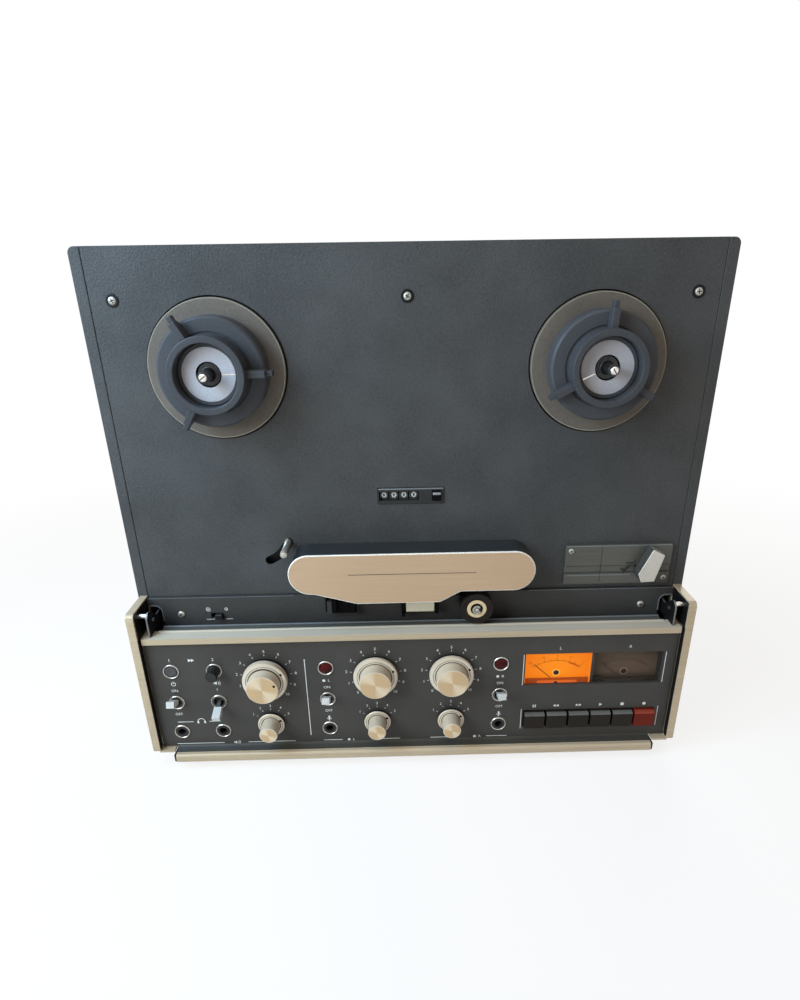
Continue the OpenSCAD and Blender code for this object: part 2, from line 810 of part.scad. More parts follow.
// Quarter-inch sockets in front, line sockets and mains inlet behind
module sockets() {
    color("#c8c8c6") {
        at_jacks() difference() {
            union() {
                rod(socket_r, panel_back - 20, panel_face + 0.4);
                rod(ring_r, panel_face, panel_face + ring_h);
                rod(socket_r + 2, panel_back - 20, panel_back);
            }
            rod(plug_r, panel_back - 30, panel_face + 5);
        }
        at_lines() difference() {
            union() {
                rod(line_r - 1, back_face - 1, back_face + 10);
                rod(line_r + 1.4, back_face - 1, back_face);
                rod(line_r, back_face - line_len, back_face - 0.5);
            }
            rod(1.6, back_face - line_len - 1, back_face - 1.5);
        }
        translate([inlet_x, inlet_z, back_face]) difference() {
            union() {
                translate([0, 0, 7]) cube([27.4, 19.4, 20], center = true);
                translate([0, 0, -1]) cube([34, 25, 2], center = true);
            }
            translate([0, 0, 2]) cube([23, 15, 24], center = true);
        }
    }
}

// Record lamps with their rings
module record_lamps() {
    color("#a3191c") at_lamps() {
        rod(socket_r, panel_back - 14, panel_face + 0.5);
        rod(ring_r, panel_face, panel_face + ring_h);
        rod(socket_r + 2, panel_back - 14, panel_back);
    }
}

// Switch and potentiometer bodies behind the panel, and the key switch block
module control_bodies() {
    color("#7f7a70") {
        at_toggles() difference() {
            union() {
                translate([-7, -10, panel_back - 16]) cube([14, 20, 16]);
                rod(toggle_bush_r, panel_back - 1, panel_face + 0.4);
                rod(ring_r, panel_face, panel_face + ring_h);
            }
            rod(toggle_bore_r, toggle_pivot - 6, panel_face + 5);
        }
        at_speeds() difference() {
            union() {
                translate([-9, -9, panel_back - 22]) cube([18, 18, 22]);
                rod(speed_bush_r, panel_back - 1, panel_face + 0.4);
                rod(ring_r, panel_face, panel_face + ring_h);
            }
            rod(speed_bore_r, panel_back - 20, panel_face + 5);
        }
        at_single_pots() difference() {
            union() {
                rod(pot_r, panel_back - 13, panel_back);
                rod(pot_bush_r, panel_back - 1, panel_face - 0.5);
            }
            rod(knob_shaft_r + run_gap, panel_back - 11, panel_face + 5);
        }
        translate([-col_volume, row_knob]) difference() {
            union() {
                rod(pot_r, panel_back - 17, panel_back);
                rod(pot_bush_r + 1.2, panel_back - 1, panel_face - 0.5);
            }
            rod(tube_r + run_gap, panel_back - 8, panel_face + 5);
            rod(knob_shaft_r + run_gap, panel_back - 15, panel_back - 7);
        }
        key_block();
    }
}

// Block behind the keys that guides their stems
module key_block() {
    span = key_row_w + 8;
    difference() {
        translate([col_meter - span / 2, row_key - key_h / 2 - 2, panel_back - 20])
            cube([span, key_h + 4, 20]);
        translate([col_meter, row_key, panel_back - 1])
            cube([key_row_w + 1.6, key_h + 10, 21], center = true);
        for (i = [0:5])
            translate([key_x(i), row_key]) rod(key_stem_r + bush_gap, panel_back - 22, panel_back);
    }
}

// Middle of a transport key
function key_x(i) = col_meter + (i - 2.5) * key_pitch;

// One transport key with sloping top and its stem
module key(i) {
    back = panel_back - 6;
    translate([key_x(i), row_key, 0]) {
        translate([-key_w / 2, 0, 0]) rotate([90, 0, 90]) linear_extrude(key_w)
            polygon([[-key_h / 2, back], [key_h / 2, back], [key_h / 2, panel_face + 2],
                [key_h / 2 - 2, panel_face + key_proud], [-key_h / 2, panel_face + key_proud - 1]]);
        rod(key_stem_r, panel_back - 17, back + 1);
    }
}

module key_1() {
    color("#1c1c1c") key(0);
}

module key_2() {
    color("#1c1c1c") key(1);
}

module key_3() {
    color("#1c1c1c") key(2);
}

module key_4() {
    color("#1c1c1c") key(3);
}

module key_5() {
    color("#1c1c1c") key(4);
}

module key_6() {
    color("#5c1f1d") key(5);
}

// Turntable with brake drum, motor shaft and reel spindle
module turntable(side) {
    color("#77765f") translate([side * reel_x, reel_z]) {
        rod(turntable_r, -1.2, turntable_h);
        rod(drum_r, drum_back, -1);
        rod(shaft_r, chassis_back - reel_motor_len - 3, drum_back + 1);
        rod(spindle_r, turntable_h - 1, adapter_face_h - 2);
        rod(spindle_r / 2, adapter_face_h - 3, spindle_tip - 2);
        rod(spindle_r / 3, spindle_tip - 3, spindle_tip);
    }
}

module supply_turntable() {
    turntable(-1);
}

module takeup_turntable() {
    turntable(1);
}

// Adapter for large reel hubs, resting on the turntable
module adapter(side) {
    color("#2c2d2e") translate([side * reel_x, reel_z]) difference() {
        union() {
            rod(adapter_r, turntable_h, adapter_h);
            rod(adapter_post_r, adapter_h - 1, adapter_face_h);
        }
        rod(spindle_r + 0.7, turntable_h - 1, adapter_face_h + 1);
    }
}

module supply_adapter() {
    adapter(-1);
}

module takeup_adapter() {
    adapter(1);
}

// Lock ring with three wings that grip the reel hub
module lock(side, turn) {
    color("#222324") translate([side * reel_x, reel_z]) difference() {
        union() {
            rod(lock_out_r, lock_base, lock_h);
            for (i = [0:2]) rotate(turn + 120 * i)
                translate([lock_in_r + 1, -wing_w / 2, lock_base])
                    cube([wing_r - lock_in_r - 1, wing_w, lock_h - lock_base - 5]);
        }
        rod(lock_in_r, lock_base - 1, lock_h + 1);
    }
}

module supply_lock() {
    lock(-1, supply_wing_turn);
}

module takeup_lock() {
    lock(1, takeup_wing_turn);
}

// Capstan shaft with its flywheel behind the motor
module capstan() {
    tail = chassis_back - capstan_motor_len;
    color("#d8d8d6") translate([capstan_x, capstan_z]) {
        rod(capstan_r, tail - 4, plate_back - web - 0.6);
        rod(30, tail - 12, tail - 2);
    }
}

// Swinging arm with pivot pin, roller axle and retaining disc
module pinch_arm() {
    color("#1f2021") {
        translate([0, 0, arm_back]) linear_extrude(arm_thick) {
            translate([pinch_pivot_x, pinch_pivot_z]) circle(5);
            translate([pinch_pivot_x, pinch_pivot_z]) rotate(-atan2(5.4, 25.3))
                translate([1, -3.5]) square([pinch_reach - 2, 7]);
            translate([roller_x, roller_z]) circle(6);
        }
        translate([pinch_pivot_x, pinch_pivot_z]) rod(pivot_r, chassis_back, arm_back + 1.5);
        translate([roller_x, roller_z]) {
            rod(axle_r, arm_back + 2.5, roller_back + roller_len + 1.6);
            rod(3.4, roller_back + roller_len + fit_gap, roller_back + roller_len + 1.2);
        }
    }
}

// Rubber roller
module pinch_roller() {
    color("#262423") translate([roller_x, roller_z])
        tube(roller_r, axle_r + run_gap, roller_back, roller_back + roller_len);
}

// Arm behind the deck with the post that feels the tape
module tension_arm() {
    low = chassis_front + 0.8;
    high = -deck_thick - 0.8;
    color("#cfcfcc") translate([-tension_x, tension_z]) {
        rod(pivot_r, chassis_back, high);
        rod(6, low, high);
        rotate(-tension_rest) {
            translate([0, -3, low]) cube([tension_r, 6, high - low]);
            translate([tension_r, 0]) rod(post_r, low, post_len);
        }
    }
}

// Pale screening plate below the playback head, lifted with the pinch arm
module head_shield() {
    color("#d8cdb4") translate([-5, roller_z - 7.2, trim_face + fit_gap + 0.1]) cube([23.4, 19.6, 7.4]);
}

// Slider of the reel size switch
module reel_size_slider() {
    color("#131313") translate([slider_x, slider_z, 0]) {
        translate([0, 0, 1.7]) cube([5.6, 4.6, 9.4], center = true);
        translate([0, 0, -deck_thick - 1.1]) cube([15, 9, 1.4], center = true);
    }
}

// Speed button; the left one is pressed in, the right one stands out
module speed_button(x, back) {
    color("#171717") translate([-x, row_top]) rod(speed_r, back, back + 20);
}

module speed_button_left() {
    speed_button(col_power, panel_face + 1 - 20);
}

module speed_button_right() {
    speed_button(col_monitor, panel_face + 1 + speed_travel - 20);
}

// Toggle lever, tilted up or down from its pivot behind the panel
module toggle(x, tilt) {
    color("#e8e4da") translate([x, row_toggle, toggle_pivot]) rotate([-tilt, 0, 0]) {
        translate([-1.6, -1.4, -2]) cube([3.2, 2.8, 12]);
        rotate([0, 90, 0]) cylinder(r = 1.7, h = 6.4, center = true);
        translate([-toggle_w / 2, 0, 0]) rotate([90, 0, 90]) linear_extrude(toggle_w)
            polygon([[-1.8, 8.6], [1.8, 8.6], [2.7, toggle_len], [-2.7, toggle_len]]);
    }
}

module power_toggle() {
    toggle(-col_power, toggle_tilt);
}

module monitor_toggle() {
    toggle(-col_monitor, -toggle_tilt);
}

module record_toggle_left() {
    toggle(-col_record, toggle_tilt);
}

module record_toggle_right() {
    toggle(col_record, toggle_tilt);
}

// Front knob of the volume pair on the inner shaft
module volume_knob() {
    color("#c6c5c1") translate([-col_volume, row_knob]) {
        rod(face_r, panel_face + balance_h + fit_gap + 0.1, panel_face + volume_h);
        rod(knob_shaft_r, panel_back - 14, panel_face + balance_h + 2);
    }
}

// Ring behind the volume knob on the outer shaft
module balance_ring() {
    color("#bdbcb8") translate([-col_volume, row_knob]) difference() {
        union() {
            rod(skirt_r, panel_face + knob_gap, panel_face + balance_h);
            rod(tube_r, panel_back - 6, panel_face + knob_gap + 1);
        }
        rod(knob_shaft_r + run_gap, panel_back - 8, panel_face + balance_h + 1);
    }
}

// Single knob with skirt, face and shaft
module knob(x, z, r_skirt, h_skirt, r_face, h) {
    color("#c6c5c1") translate([x, z]) {
        rod(r_skirt, panel_face + knob_gap, panel_face + h_skirt);
        rod(r_face, panel_face + h_skirt - 1, panel_face + h);
        rod(knob_shaft_r, panel_back - 10, panel_face + knob_gap + 1);
    }
}

module level_knob_left() {
    knob(-col_level, row_knob, skirt_r, level_skirt_h, face_r, level_h);
}

module level_knob_right() {
    knob(col_level, row_knob, skirt_r, level_skirt_h, face_r, level_h);
}

module mode_knob() {
    knob(-col_volume, row_select, select_skirt_r, select_skirt_h, select_face_r, select_h);
}

module input_knob_left() {
    knob(-col_level, row_select, select_skirt_r, select_skirt_h, select_face_r, select_h);
}

module input_knob_right() {
    knob(col_level, row_select, select_skirt_r, select_skirt_h, select_face_r, select_h);
}

// Outline of the head cover: round ends, straight top, tab below
module cover_outline(inset) {
    r = cover_h / 2 - inset;
    straight = cover_w - cover_h;
    translate([0, cover_z]) {
        square([straight, 2 * r], center = true);
        for (side = [-1, 1]) translate([side * straight / 2, 0]) circle(r);
        polygon([[-78, 0], [-78, -r], [-44 + inset / 2, -r - tab_drop],
            [22 - inset, -r - tab_drop], [38.5 - inset, -r], [38.5 - inset, 0]]);
    }
}

// Dark shell of the head cover, open below and behind
module head_cover() {
    depth = plate_back - cover_gap;
    color("#1e1f20") difference() {
        translate([0, 0, cover_gap]) linear_extrude(depth) cover_outline(0.8);
        translate([0, 0, cover_gap - 1]) linear_extrude(depth - web + 1) cover_outline(0.8 + shell_wall);
        translate([-cover_w, cover_z - cover_h, cover_gap - 1])
            cube([2 * cover_w, cover_h - 6, depth - web + 1]);
    }
}

// Metal front plate of the head cover
module cover_front() {
    color("#c9c2b2") translate([0, 0, plate_back]) linear_extrude(cover_plate) cover_outline(0);
}

placed() cabinet();
placed() back_panel();
placed() chassis();
placed() deck_plate();
placed() head_trim();
placed() panel_frame();
placed() control_panel();
placed() hinge_hardware();
placed() feet();
placed() screws();
placed() motors();
placed() electronics();
placed() head_block();
placed() tape_heads();
placed() counter_frame();
placed() splicer_block();
placed() meter_cases();
placed() meter_window();
placed() sockets();
placed() record_lamps();
placed() control_bodies();
placed() supply_turntable();
placed() takeup_turntable();
placed() supply_adapter();
placed() takeup_adapter();
placed() supply_lock();
placed() takeup_lock();
placed() capstan();
placed() pinch_arm();
placed() pinch_roller();
placed() tension_arm();
placed() head_shield();
placed() units_wheel();
placed() upper_wheels();
placed() reset_button();
placed() splicer_lever();
placed() reel_size_slider();
placed() speed_button_left();
placed() speed_button_right();
placed() power_toggle();
placed() monitor_toggle();
placed() record_toggle_left();
placed() record_toggle_right();
placed() volume_knob();
placed() balance_ring();
placed() level_knob_left();
placed() level_knob_right();
placed() mode_knob();
placed() input_knob_left();
placed() input_knob_right();
placed() needle_left();
placed() needle_right();
placed() key_1();
placed() key_2();
placed() key_3();
placed() key_4();
placed() key_5();
placed() key_6();
placed() head_cover();
placed() cover_front();
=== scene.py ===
# %% [markdown]
# # A reel-to-reel tape recorder, dressed for its portrait
# The frame brings sixty plain CAD nodes, each in its place, and the joints that move them.
# This lesson gives them their looks: soft edges, lacquer, brushed metal, print and small fittings.
# No CAD node is moved or resized. One whose shape is right is shown by a copy with softened edges,
# and a round or detailed one is drawn again with finer steps.

# %% Load the frame
import math
import bmesh
import bpy
from mathutils import Matrix, Vector


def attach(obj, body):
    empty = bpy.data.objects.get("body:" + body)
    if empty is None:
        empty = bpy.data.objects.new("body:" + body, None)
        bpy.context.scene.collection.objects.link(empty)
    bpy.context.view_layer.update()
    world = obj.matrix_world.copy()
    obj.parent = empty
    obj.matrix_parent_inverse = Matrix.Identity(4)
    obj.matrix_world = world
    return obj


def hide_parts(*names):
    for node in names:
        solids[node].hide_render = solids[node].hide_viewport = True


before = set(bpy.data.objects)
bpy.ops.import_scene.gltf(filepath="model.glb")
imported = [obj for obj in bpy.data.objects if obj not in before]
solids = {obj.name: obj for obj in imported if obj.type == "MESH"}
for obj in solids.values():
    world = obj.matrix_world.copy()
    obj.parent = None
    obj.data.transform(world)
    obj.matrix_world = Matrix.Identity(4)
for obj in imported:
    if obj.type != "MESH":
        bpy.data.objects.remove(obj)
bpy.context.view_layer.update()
scene = bpy.context.scene

# %% [markdown]
# ## The camera
# The portrait was taken by someone standing close in front and looking down, so the recorder
# narrows towards its feet. A camera could be aimed with a Track To constraint, but the place,
# the three axes and the lens were measured from the picture, so they are written in directly.
# The shift stands for the picture's crop: the lens did not point at the middle of the frame.

# %% Camera
eye = Vector((-0.007791, -0.5245, 0.396037))
to_right = Vector((0.999679, -0.020983, -0.014173))
to_top = Vector((0.021264, 0.391756, 0.919823))
to_back = Vector((-0.013749, -0.91983, 0.392076))
camera = bpy.data.objects.new("camera", bpy.data.cameras.new("camera"))
camera.matrix_world = Matrix((to_right, to_top, to_back)).transposed().to_4x4()
camera.matrix_world.translation = eye
camera.data.lens = 22.669
camera.data.sensor_width = 36.0
camera.data.shift_x = -0.01007
camera.data.shift_y = 0.04179
camera.data.clip_start = 0.01
scene.collection.objects.link(camera)
scene.camera = camera
print("camera at", [round(c, 3) for c in camera.matrix_world.translation])

# %% [markdown]
# ## Light and floor
# A soft studio needs one broad lamp for shape, weaker ones round it and an even sky.
# Daylight comes from a broad window at the upper left, with a small and bluer skylight beside it.
# The lamps overhead, at the right and in front are weaker and warm, and one behind lights the back.
# The white ground comes from the Light Path node: eye, mirror and glass rays see white,
# while the light that falls on the recorder stays at its plain level and still casts a shadow.

# %% Rays that see white


def seen_directly(tree):
    path = tree.nodes.new("ShaderNodeLightPath")
    eye_or_mirror = tree.nodes.new("ShaderNodeMath")
    eye_or_mirror.operation = "MAXIMUM"
    or_glass = tree.nodes.new("ShaderNodeMath")
    or_glass.operation = "MAXIMUM"
    tree.links.new(path.outputs["Is Camera Ray"], eye_or_mirror.inputs[0])
    tree.links.new(path.outputs["Is Glossy Ray"], eye_or_mirror.inputs[1])
    tree.links.new(eye_or_mirror.outputs[0], or_glass.inputs[0])
    tree.links.new(path.outputs["Is Transmission Ray"], or_glass.inputs[1])
    return or_glass.outputs[0]


print("white for eye, mirror and glass rays")

# %% Sky
scene.view_settings.view_transform = "Standard"
sky = bpy.data.worlds.new("studio_sky")
sky.use_nodes = True
scene.world = sky
sky_nodes = sky.node_tree.nodes
sky_link = sky.node_tree.links.new
room = sky_nodes["Background"]
room.inputs["Color"].default_value = (1.0, 0.97, 0.94, 1)
room.inputs["Strength"].default_value = 0.12
white = sky_nodes.new("ShaderNodeBackground")
white.inputs["Color"].default_value = (1, 1, 1, 1)
white.inputs["Strength"].default_value = 1.0
either = sky_nodes.new("ShaderNodeMixShader")
sky_link(seen_directly(sky.node_tree), either.inputs[0])
sky_link(room.outputs[0], either.inputs[1])
sky_link(white.outputs[0], either.inputs[2])
sky_link(either.outputs[0], sky_nodes["World Output"].inputs["Surface"])
print("sky", sky.name)

# %% Lamps


def lamp(name, place, aim, size, power, colour):
    light = bpy.data.lights.new(name, "AREA")
    light.energy = power
    light.size = size
    light.color = colour
    holder = bpy.data.objects.new(name, light)
    holder.location = place
    holder.rotation_euler = (Vector(aim) - Vector(place)).to_track_quat("-Z", "Y").to_euler()
    scene.collection.objects.link(holder)
    print(name, power, "W")


lamp("window", (-0.75, -0.60, 0.62), (-0.15, -0.06, 0.28), 0.6, 11.5, (0.78, 0.90, 0.94))
lamp("skylight", (-0.42, -0.25, 0.62), (-0.19, -0.06, 0.34), 0.3, 2.6, (0.26, 0.60, 1.0))
lamp("overhead", (-0.1, -0.42, 1.35), (0.0, -0.1, 0.2), 0.9, 4.0, (1.0, 0.87, 0.72))
lamp("fill", (0.85, -0.95, 0.35), (0.1, -0.06, 0.12), 0.8, 0.8, (1.0, 0.76, 0.52))
lamp("front", (-0.1, -1.5, 0.55), (0.0, -0.06, 0.2), 1.0, 1.2, (1.0, 0.86, 0.68))
lamp("rear", (0.5, 1.3, 0.8), (0.0, 0.1, 0.2), 0.9, 12.0, (1.0, 0.98, 0.95))

# %% Floor
ground = bmesh.new()
bmesh.ops.create_grid(ground, x_segments=1, y_segments=1, size=6.0)
floor_mesh = bpy.data.meshes.new("floor")
ground.to_mesh(floor_mesh)
ground.free()
floor = bpy.data.objects.new("floor", floor_mesh)
scene.collection.objects.link(floor)
print("floor", [round(c, 1) for c in floor.dimensions])

# %% Floor finish
pale = bpy.data.materials.new("pale_floor")
pale.use_nodes = True
pale_link = pale.node_tree.links.new
pale_shader = pale.node_tree.nodes["Principled BSDF"]
pale_shader.inputs["Base Color"].default_value = (0.86, 0.85, 0.84, 1)
pale_shader.inputs["Roughness"].default_value = 0.9
pale_glow = pale.node_tree.nodes.new("ShaderNodeEmission")
pale_glow.inputs["Strength"].default_value = 1.0
pale_reach = pale.node_tree.nodes.new("ShaderNodeTexGradient")
pale_reach.gradient_type = "SPHERICAL"
pale_near = pale.node_tree.nodes.new("ShaderNodeMapRange")
pale_near.inputs["From Max"].default_value = 0.6
pale_near.inputs["To Min"].default_value = 1.0
pale_near.inputs["To Max"].default_value = 0.8
pale_where = pale.node_tree.nodes.new("ShaderNodeTexCoord")
pale_share = pale.node_tree.nodes.new("ShaderNodeMath")
pale_share.operation = "MULTIPLY"
pale_mix = pale.node_tree.nodes.new("ShaderNodeMixShader")
pale_link(pale_where.outputs["Object"], pale_reach.inputs["Vector"])
pale_link(pale_reach.outputs["Fac"], pale_near.inputs["Value"])
pale_link(pale_near.outputs["Result"], pale_share.inputs[1])
pale_link(seen_directly(pale.node_tree), pale_share.inputs[0])
pale_link(pale_share.outputs[0], pale_mix.inputs[0])
pale_link(pale_shader.outputs[0], pale_mix.inputs[1])
pale_link(pale_glow.outputs[0], pale_mix.inputs[2])
pale_link(pale_mix.outputs[0], pale.node_tree.nodes["Material Output"].inputs["Surface"])
floor_mesh.materials.append(pale)
print("floor wears", pale.name)

# %% [markdown]
# ## A drawing board
# A maker draws this front as seen: x to the right, up, and out towards the viewer, in millimetres,
# with out = 0 on the face of the deck. One matrix turns such a drawing into the frame's metres.
# New pieces are drawn on this board, and copies of CAD nodes are in the frame's metres already.
# Each piece is settled once: doubles merged and faces turned outwards, unless it is flat print,
# then put in its mesh, given its finish, and told which body carries it.

# %% The drawing board and how a piece settles
BOARD = Matrix(((0.001, 0, 0, 0), (0, 0, -0.001, -0.0555), (0, 0.001, 0, 0), (0, 0, 0, 1)))
totals = {"pieces": 0, "faces": 0}


def settle(bm, name, body, finish, stands_for=(), board=BOARD, crease=38, closed=True):
    if closed:
        bmesh.ops.remove_doubles(bm, verts=bm.verts[:], dist=0.001 if board else 1e-6)
        bmesh.ops.recalc_face_normals(bm, faces=bm.faces[:])
    if board:
        bm.transform(board)
    mesh = bpy.data.meshes.new(name)
    bm.to_mesh(mesh)
    bm.free()
    for coat in finish if isinstance(finish, list) else [finish]:
        mesh.materials.append(coat)
    mesh.shade_smooth()
    mesh.set_sharp_from_angle(angle=math.radians(crease))
    piece = bpy.data.objects.new(name, mesh)
    scene.collection.objects.link(piece)
    if closed:
        piece.modifiers.new("even_shading", "WEIGHTED_NORMAL").keep_sharp = True
    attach(piece, body)
    if stands_for:
        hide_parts(*stands_for)
    totals["pieces"] += 1
    totals["faces"] += len(mesh.polygons)
    print(f"{name}: {len(mesh.polygons)} faces on {body}")


# %% [markdown]
# ## Softening a CAD shape
# Real parts of this kind are turned, sawn from plate or moulded, and none has a knife-sharp edge.
# Light catches on the rounding of an edge, so a solid whose shape is right only needs a small bevel.
# A bevel modifier would do the same, but a bevelled copy leaves the CAD mesh as it came.
# An edge counts as hard when its faces turn by more than 40 degrees.

# %% Softened copies
SHARP = 40


def bevel(bm, rims, width, steps):
    bmesh.ops.bevel(bm, geom=rims, offset=width, offset_type="OFFSET", affect="EDGES", segments=steps,
                    profile=0.5, material=-1, clamp_overlap=True)


def sharp_rims(bm, over):
    return [e for e in bm.edges if len(e.link_faces) == 2 and e.calc_face_angle(0) > math.radians(over)]


def soft_copy(node, width, steps=2):
    bm = bmesh.new()
    bm.from_mesh(solids[node].data)
    bmesh.ops.remove_doubles(bm, verts=bm.verts[:], dist=2e-6)
    bmesh.ops.dissolve_limit(bm, angle_limit=math.radians(0.5), verts=bm.verts[:], edges=bm.edges[:])
    bevel(bm, sharp_rims(bm, SHARP), width / 1000, steps)
    return bm


def soften(node, width, name, body, finish, steps=2):
    settle(soft_copy(node, width, steps), name, body, finish, [node], board=None)


print("copies can be softened")

# %% [markdown]
# ## How a finish is mixed
# A painted or metal surface is never one colour: the coat wanders a little, its gloss wanders with
# the grain, and the grain is a shallow relief. Noise on Object coordinates gives all three, and it
# stays with the piece when it moves. Stretching the noise along one way makes brush marks of it.

# %% Starting a finish


def tint(*screen):
    return tuple(((c / 255 + 0.055) / 1.055) ** 2.4 for c in screen)


def start_finish(name, rough, metal=0.0):
    coat = bpy.data.materials.new(name)
    coat.use_nodes = True
    shader = coat.node_tree.nodes["Principled BSDF"]
    shader.inputs["Roughness"].default_value = rough
    shader.inputs["Metallic"].default_value = metal
    return coat, coat.node_tree.nodes, coat.node_tree.links.new, shader


def spots(nodes, link, stretch=(1, 1, 1), centre=(0, 0, 0)):
    where = nodes.new("ShaderNodeTexCoord")
    place = nodes.new("ShaderNodeMapping")
    place.inputs["Location"].default_value = [-c * s for c, s in zip(centre, stretch)]
    place.inputs["Scale"].default_value = stretch
    link(where.outputs["Object"], place.inputs["Vector"])
    return place.outputs["Vector"]


print("finishes can be started")

# %% Noise, ramps and relief


def cloud(nodes, link, vector, scale, detail=3.0):
    noise = nodes.new("ShaderNodeTexNoise")
    noise.inputs["Scale"].default_value = scale
    noise.inputs["Detail"].default_value = detail
    link(vector, noise.inputs["Vector"])
    return noise.outputs[0]


def between(nodes, link, amount, dark, light, low=0.35, high=0.65):
    ramp = nodes.new("ShaderNodeValToRGB")
    ramp.color_ramp.elements[0].position = low
    ramp.color_ramp.elements[1].position = high
    ramp.color_ramp.elements[0].color = (*dark, 1)
    ramp.color_ramp.elements[1].color = (*light, 1)
    link(amount, ramp.inputs[0])
    return ramp.outputs["Color"]


def spread(nodes, link, amount, low, high):
    span = nodes.new("ShaderNodeMapRange")
    span.inputs["From Min"].default_value = 0.3
    span.inputs["From Max"].default_value = 0.7
    span.inputs["To Min"].default_value = low
    span.inputs["To Max"].default_value = high
    link(amount, span.inputs["Value"])
    return span.outputs["Result"]


def relief(nodes, link, amount, depth, shader):
    bump = nodes.new("ShaderNodeBump")
    bump.inputs["Strength"].default_value = 1.0
    bump.inputs["Distance"].default_value = depth
    link(amount, bump.inputs["Height"])
    link(bump.outputs["Normal"], shader.inputs["Normal"])


print("noise, ramps and relief ready")

# %% A grained coat


def grained(name, dark, light, rough, grain, depth, metal=0.0, stretch=(1, 1, 1), patch=24.0, play=0.07,
            gloss=0.5):
    coat, nodes, link, shader = start_finish(name, rough, metal)
    shader.inputs["Specular IOR Level"].default_value = gloss
    fine = cloud(nodes, link, spots(nodes, link, stretch), grain)
    broad = cloud(nodes, link, spots(nodes, link), patch, 5.0)
    both = nodes.new("ShaderNodeMath")
    both.operation = "MULTIPLY_ADD"
    both.inputs[1].default_value = 0.5
    half = nodes.new("ShaderNodeMath")
    half.operation = "MULTIPLY"
    half.inputs[1].default_value = 0.5
    link(fine, half.inputs[0])
    link(broad, both.inputs[0])
    link(half.outputs[0], both.inputs[2])
    link(between(nodes, link, both.outputs[0], dark, light), shader.inputs["Base Color"])
    link(spread(nodes, link, fine, rough - play, rough + play), shader.inputs["Roughness"])
    relief(nodes, link, fine, depth, shader)
    return coat


print("a grained coat can be mixed")

# %% [markdown]
# ## Cabinet, deck and back
# The cabinet is a box of painted board and the deck a painted plate, both in a slate lacquer with a
# fine pebbled grain. Their CAD shapes are right, so copies with bevelled edges are enough.
# The grain is a shallow noise relief, fine enough to read as texture only.

# %% Cabinet and deck
slate = grained("slate_lacquer", tint(57, 57, 57), tint(73, 73, 73), 0.5, 650.0, 0.0003, gloss=0.15)
slate_deck = grained("slate_deck_lacquer", tint(57, 57, 57), tint(73, 73, 73), 0.5, 700.0, 0.0003, gloss=0.15)
soften("cabinet", 0.9, "cabinet_shell", "recorder", slate)
soften("deck_plate", 0.35, "deck_face", "recorder", slate_deck)

# %% Back panel and feet
rear_sheet = grained("rear_sheet_paint", tint(44, 46, 48), tint(52, 54, 57), 0.45, 900.0, 0.00005, gloss=0.3)
foot_rubber = grained("foot_rubber", tint(24, 24, 24), tint(36, 35, 34), 0.75, 1400.0, 0.0001)
soften("back_panel", 0.3, "rear_sheet", "recorder", rear_sheet)
soften("feet", 1.2, "rubber_feet", "recorder", foot_rubber, 3)

# %% [markdown]
# ## Inside pieces that only show through slots
# Chassis, motors, boards and switch bodies sit behind the plates and show through gaps and vents.
# They keep their CAD solids, and only get finishes: cast grey, green board and brown resin, and on the
# chassis a black that is painted shade, so that gaps and vents which look through to it read dark.

# %% Inner finishes


def coat_solid(node, finish):
    if not solids[node].material_slots:
        solids[node].data.materials.append(finish)
    for place in solids[node].material_slots:
        place.material = finish
    print(node, "gets", finish.name)


# The chassis black is painted shade for the gaps and vents, not the colour of zinc.
chassis_shade_black = grained("chassis_shade_black", tint(24, 24, 25), tint(34, 34, 35), 0.5, 700.0, 0.00003, 0.4, gloss=0.3)
cast_grey = grained("cast_grey", tint(118, 120, 122), tint(140, 142, 143), 0.5, 1200.0, 0.00008, 0.6)
board_green = grained("board_green", tint(44, 66, 46), tint(58, 84, 58), 0.4, 500.0, 0.00003)
brown_resin = grained("brown_resin", tint(52, 46, 40), tint(66, 58, 50), 0.4, 600.0, 0.00003)
for inner, inner_coat in (("chassis", chassis_shade_black), ("motors", cast_grey), ("electronics", board_green),
                          ("control_bodies", brown_resin), ("head_block", cast_grey)):
    coat_solid(inner, inner_coat)

# %% [markdown]
# ## Turntables and spindles
# Each reel sits on an olive-grey turntable that turns in a round opening of the deck.
# It is a turned disc, so half its section is drawn and spun round the axis, as a lathe would shape it.
# The spindle in its middle is black plastic with three slots, and ends in a post with a small
# slotted screw. The slots are dark blocks set in at an angle, which is simpler than cutting them,
# and their black is painted shade for the depth of each slot and of the screw's slot.

# %% Turning and rounding
FULL_TURN = 2 * math.pi


def lathe(bm, profile, x, up, steps=64, ring=False):
    corners = [bm.verts.new((x + r, up, out)) for r, out in profile]
    pairs = list(zip(corners, corners[1:]))
    if ring:
        pairs.append((corners[-1], corners[0]))
    edges = [bm.edges.new(pair) for pair in pairs]
    bmesh.ops.spin(bm, geom=corners + edges, cent=(x, up, 0), axis=(0, 0, 1), angle=FULL_TURN,
                   steps=steps, use_merge=True, use_duplicate=False)
    bmesh.ops.remove_doubles(bm, verts=bm.verts[:], dist=0.0005)


def round_rims(bm, width, steps=3, over=SHARP):
    bmesh.ops.remove_doubles(bm, verts=bm.verts[:], dist=0.0005)
    bmesh.ops.recalc_face_normals(bm, faces=bm.faces[:])
    bevel(bm, sharp_rims(bm, over), width, steps)


print("profiles can be turned and rims rounded")

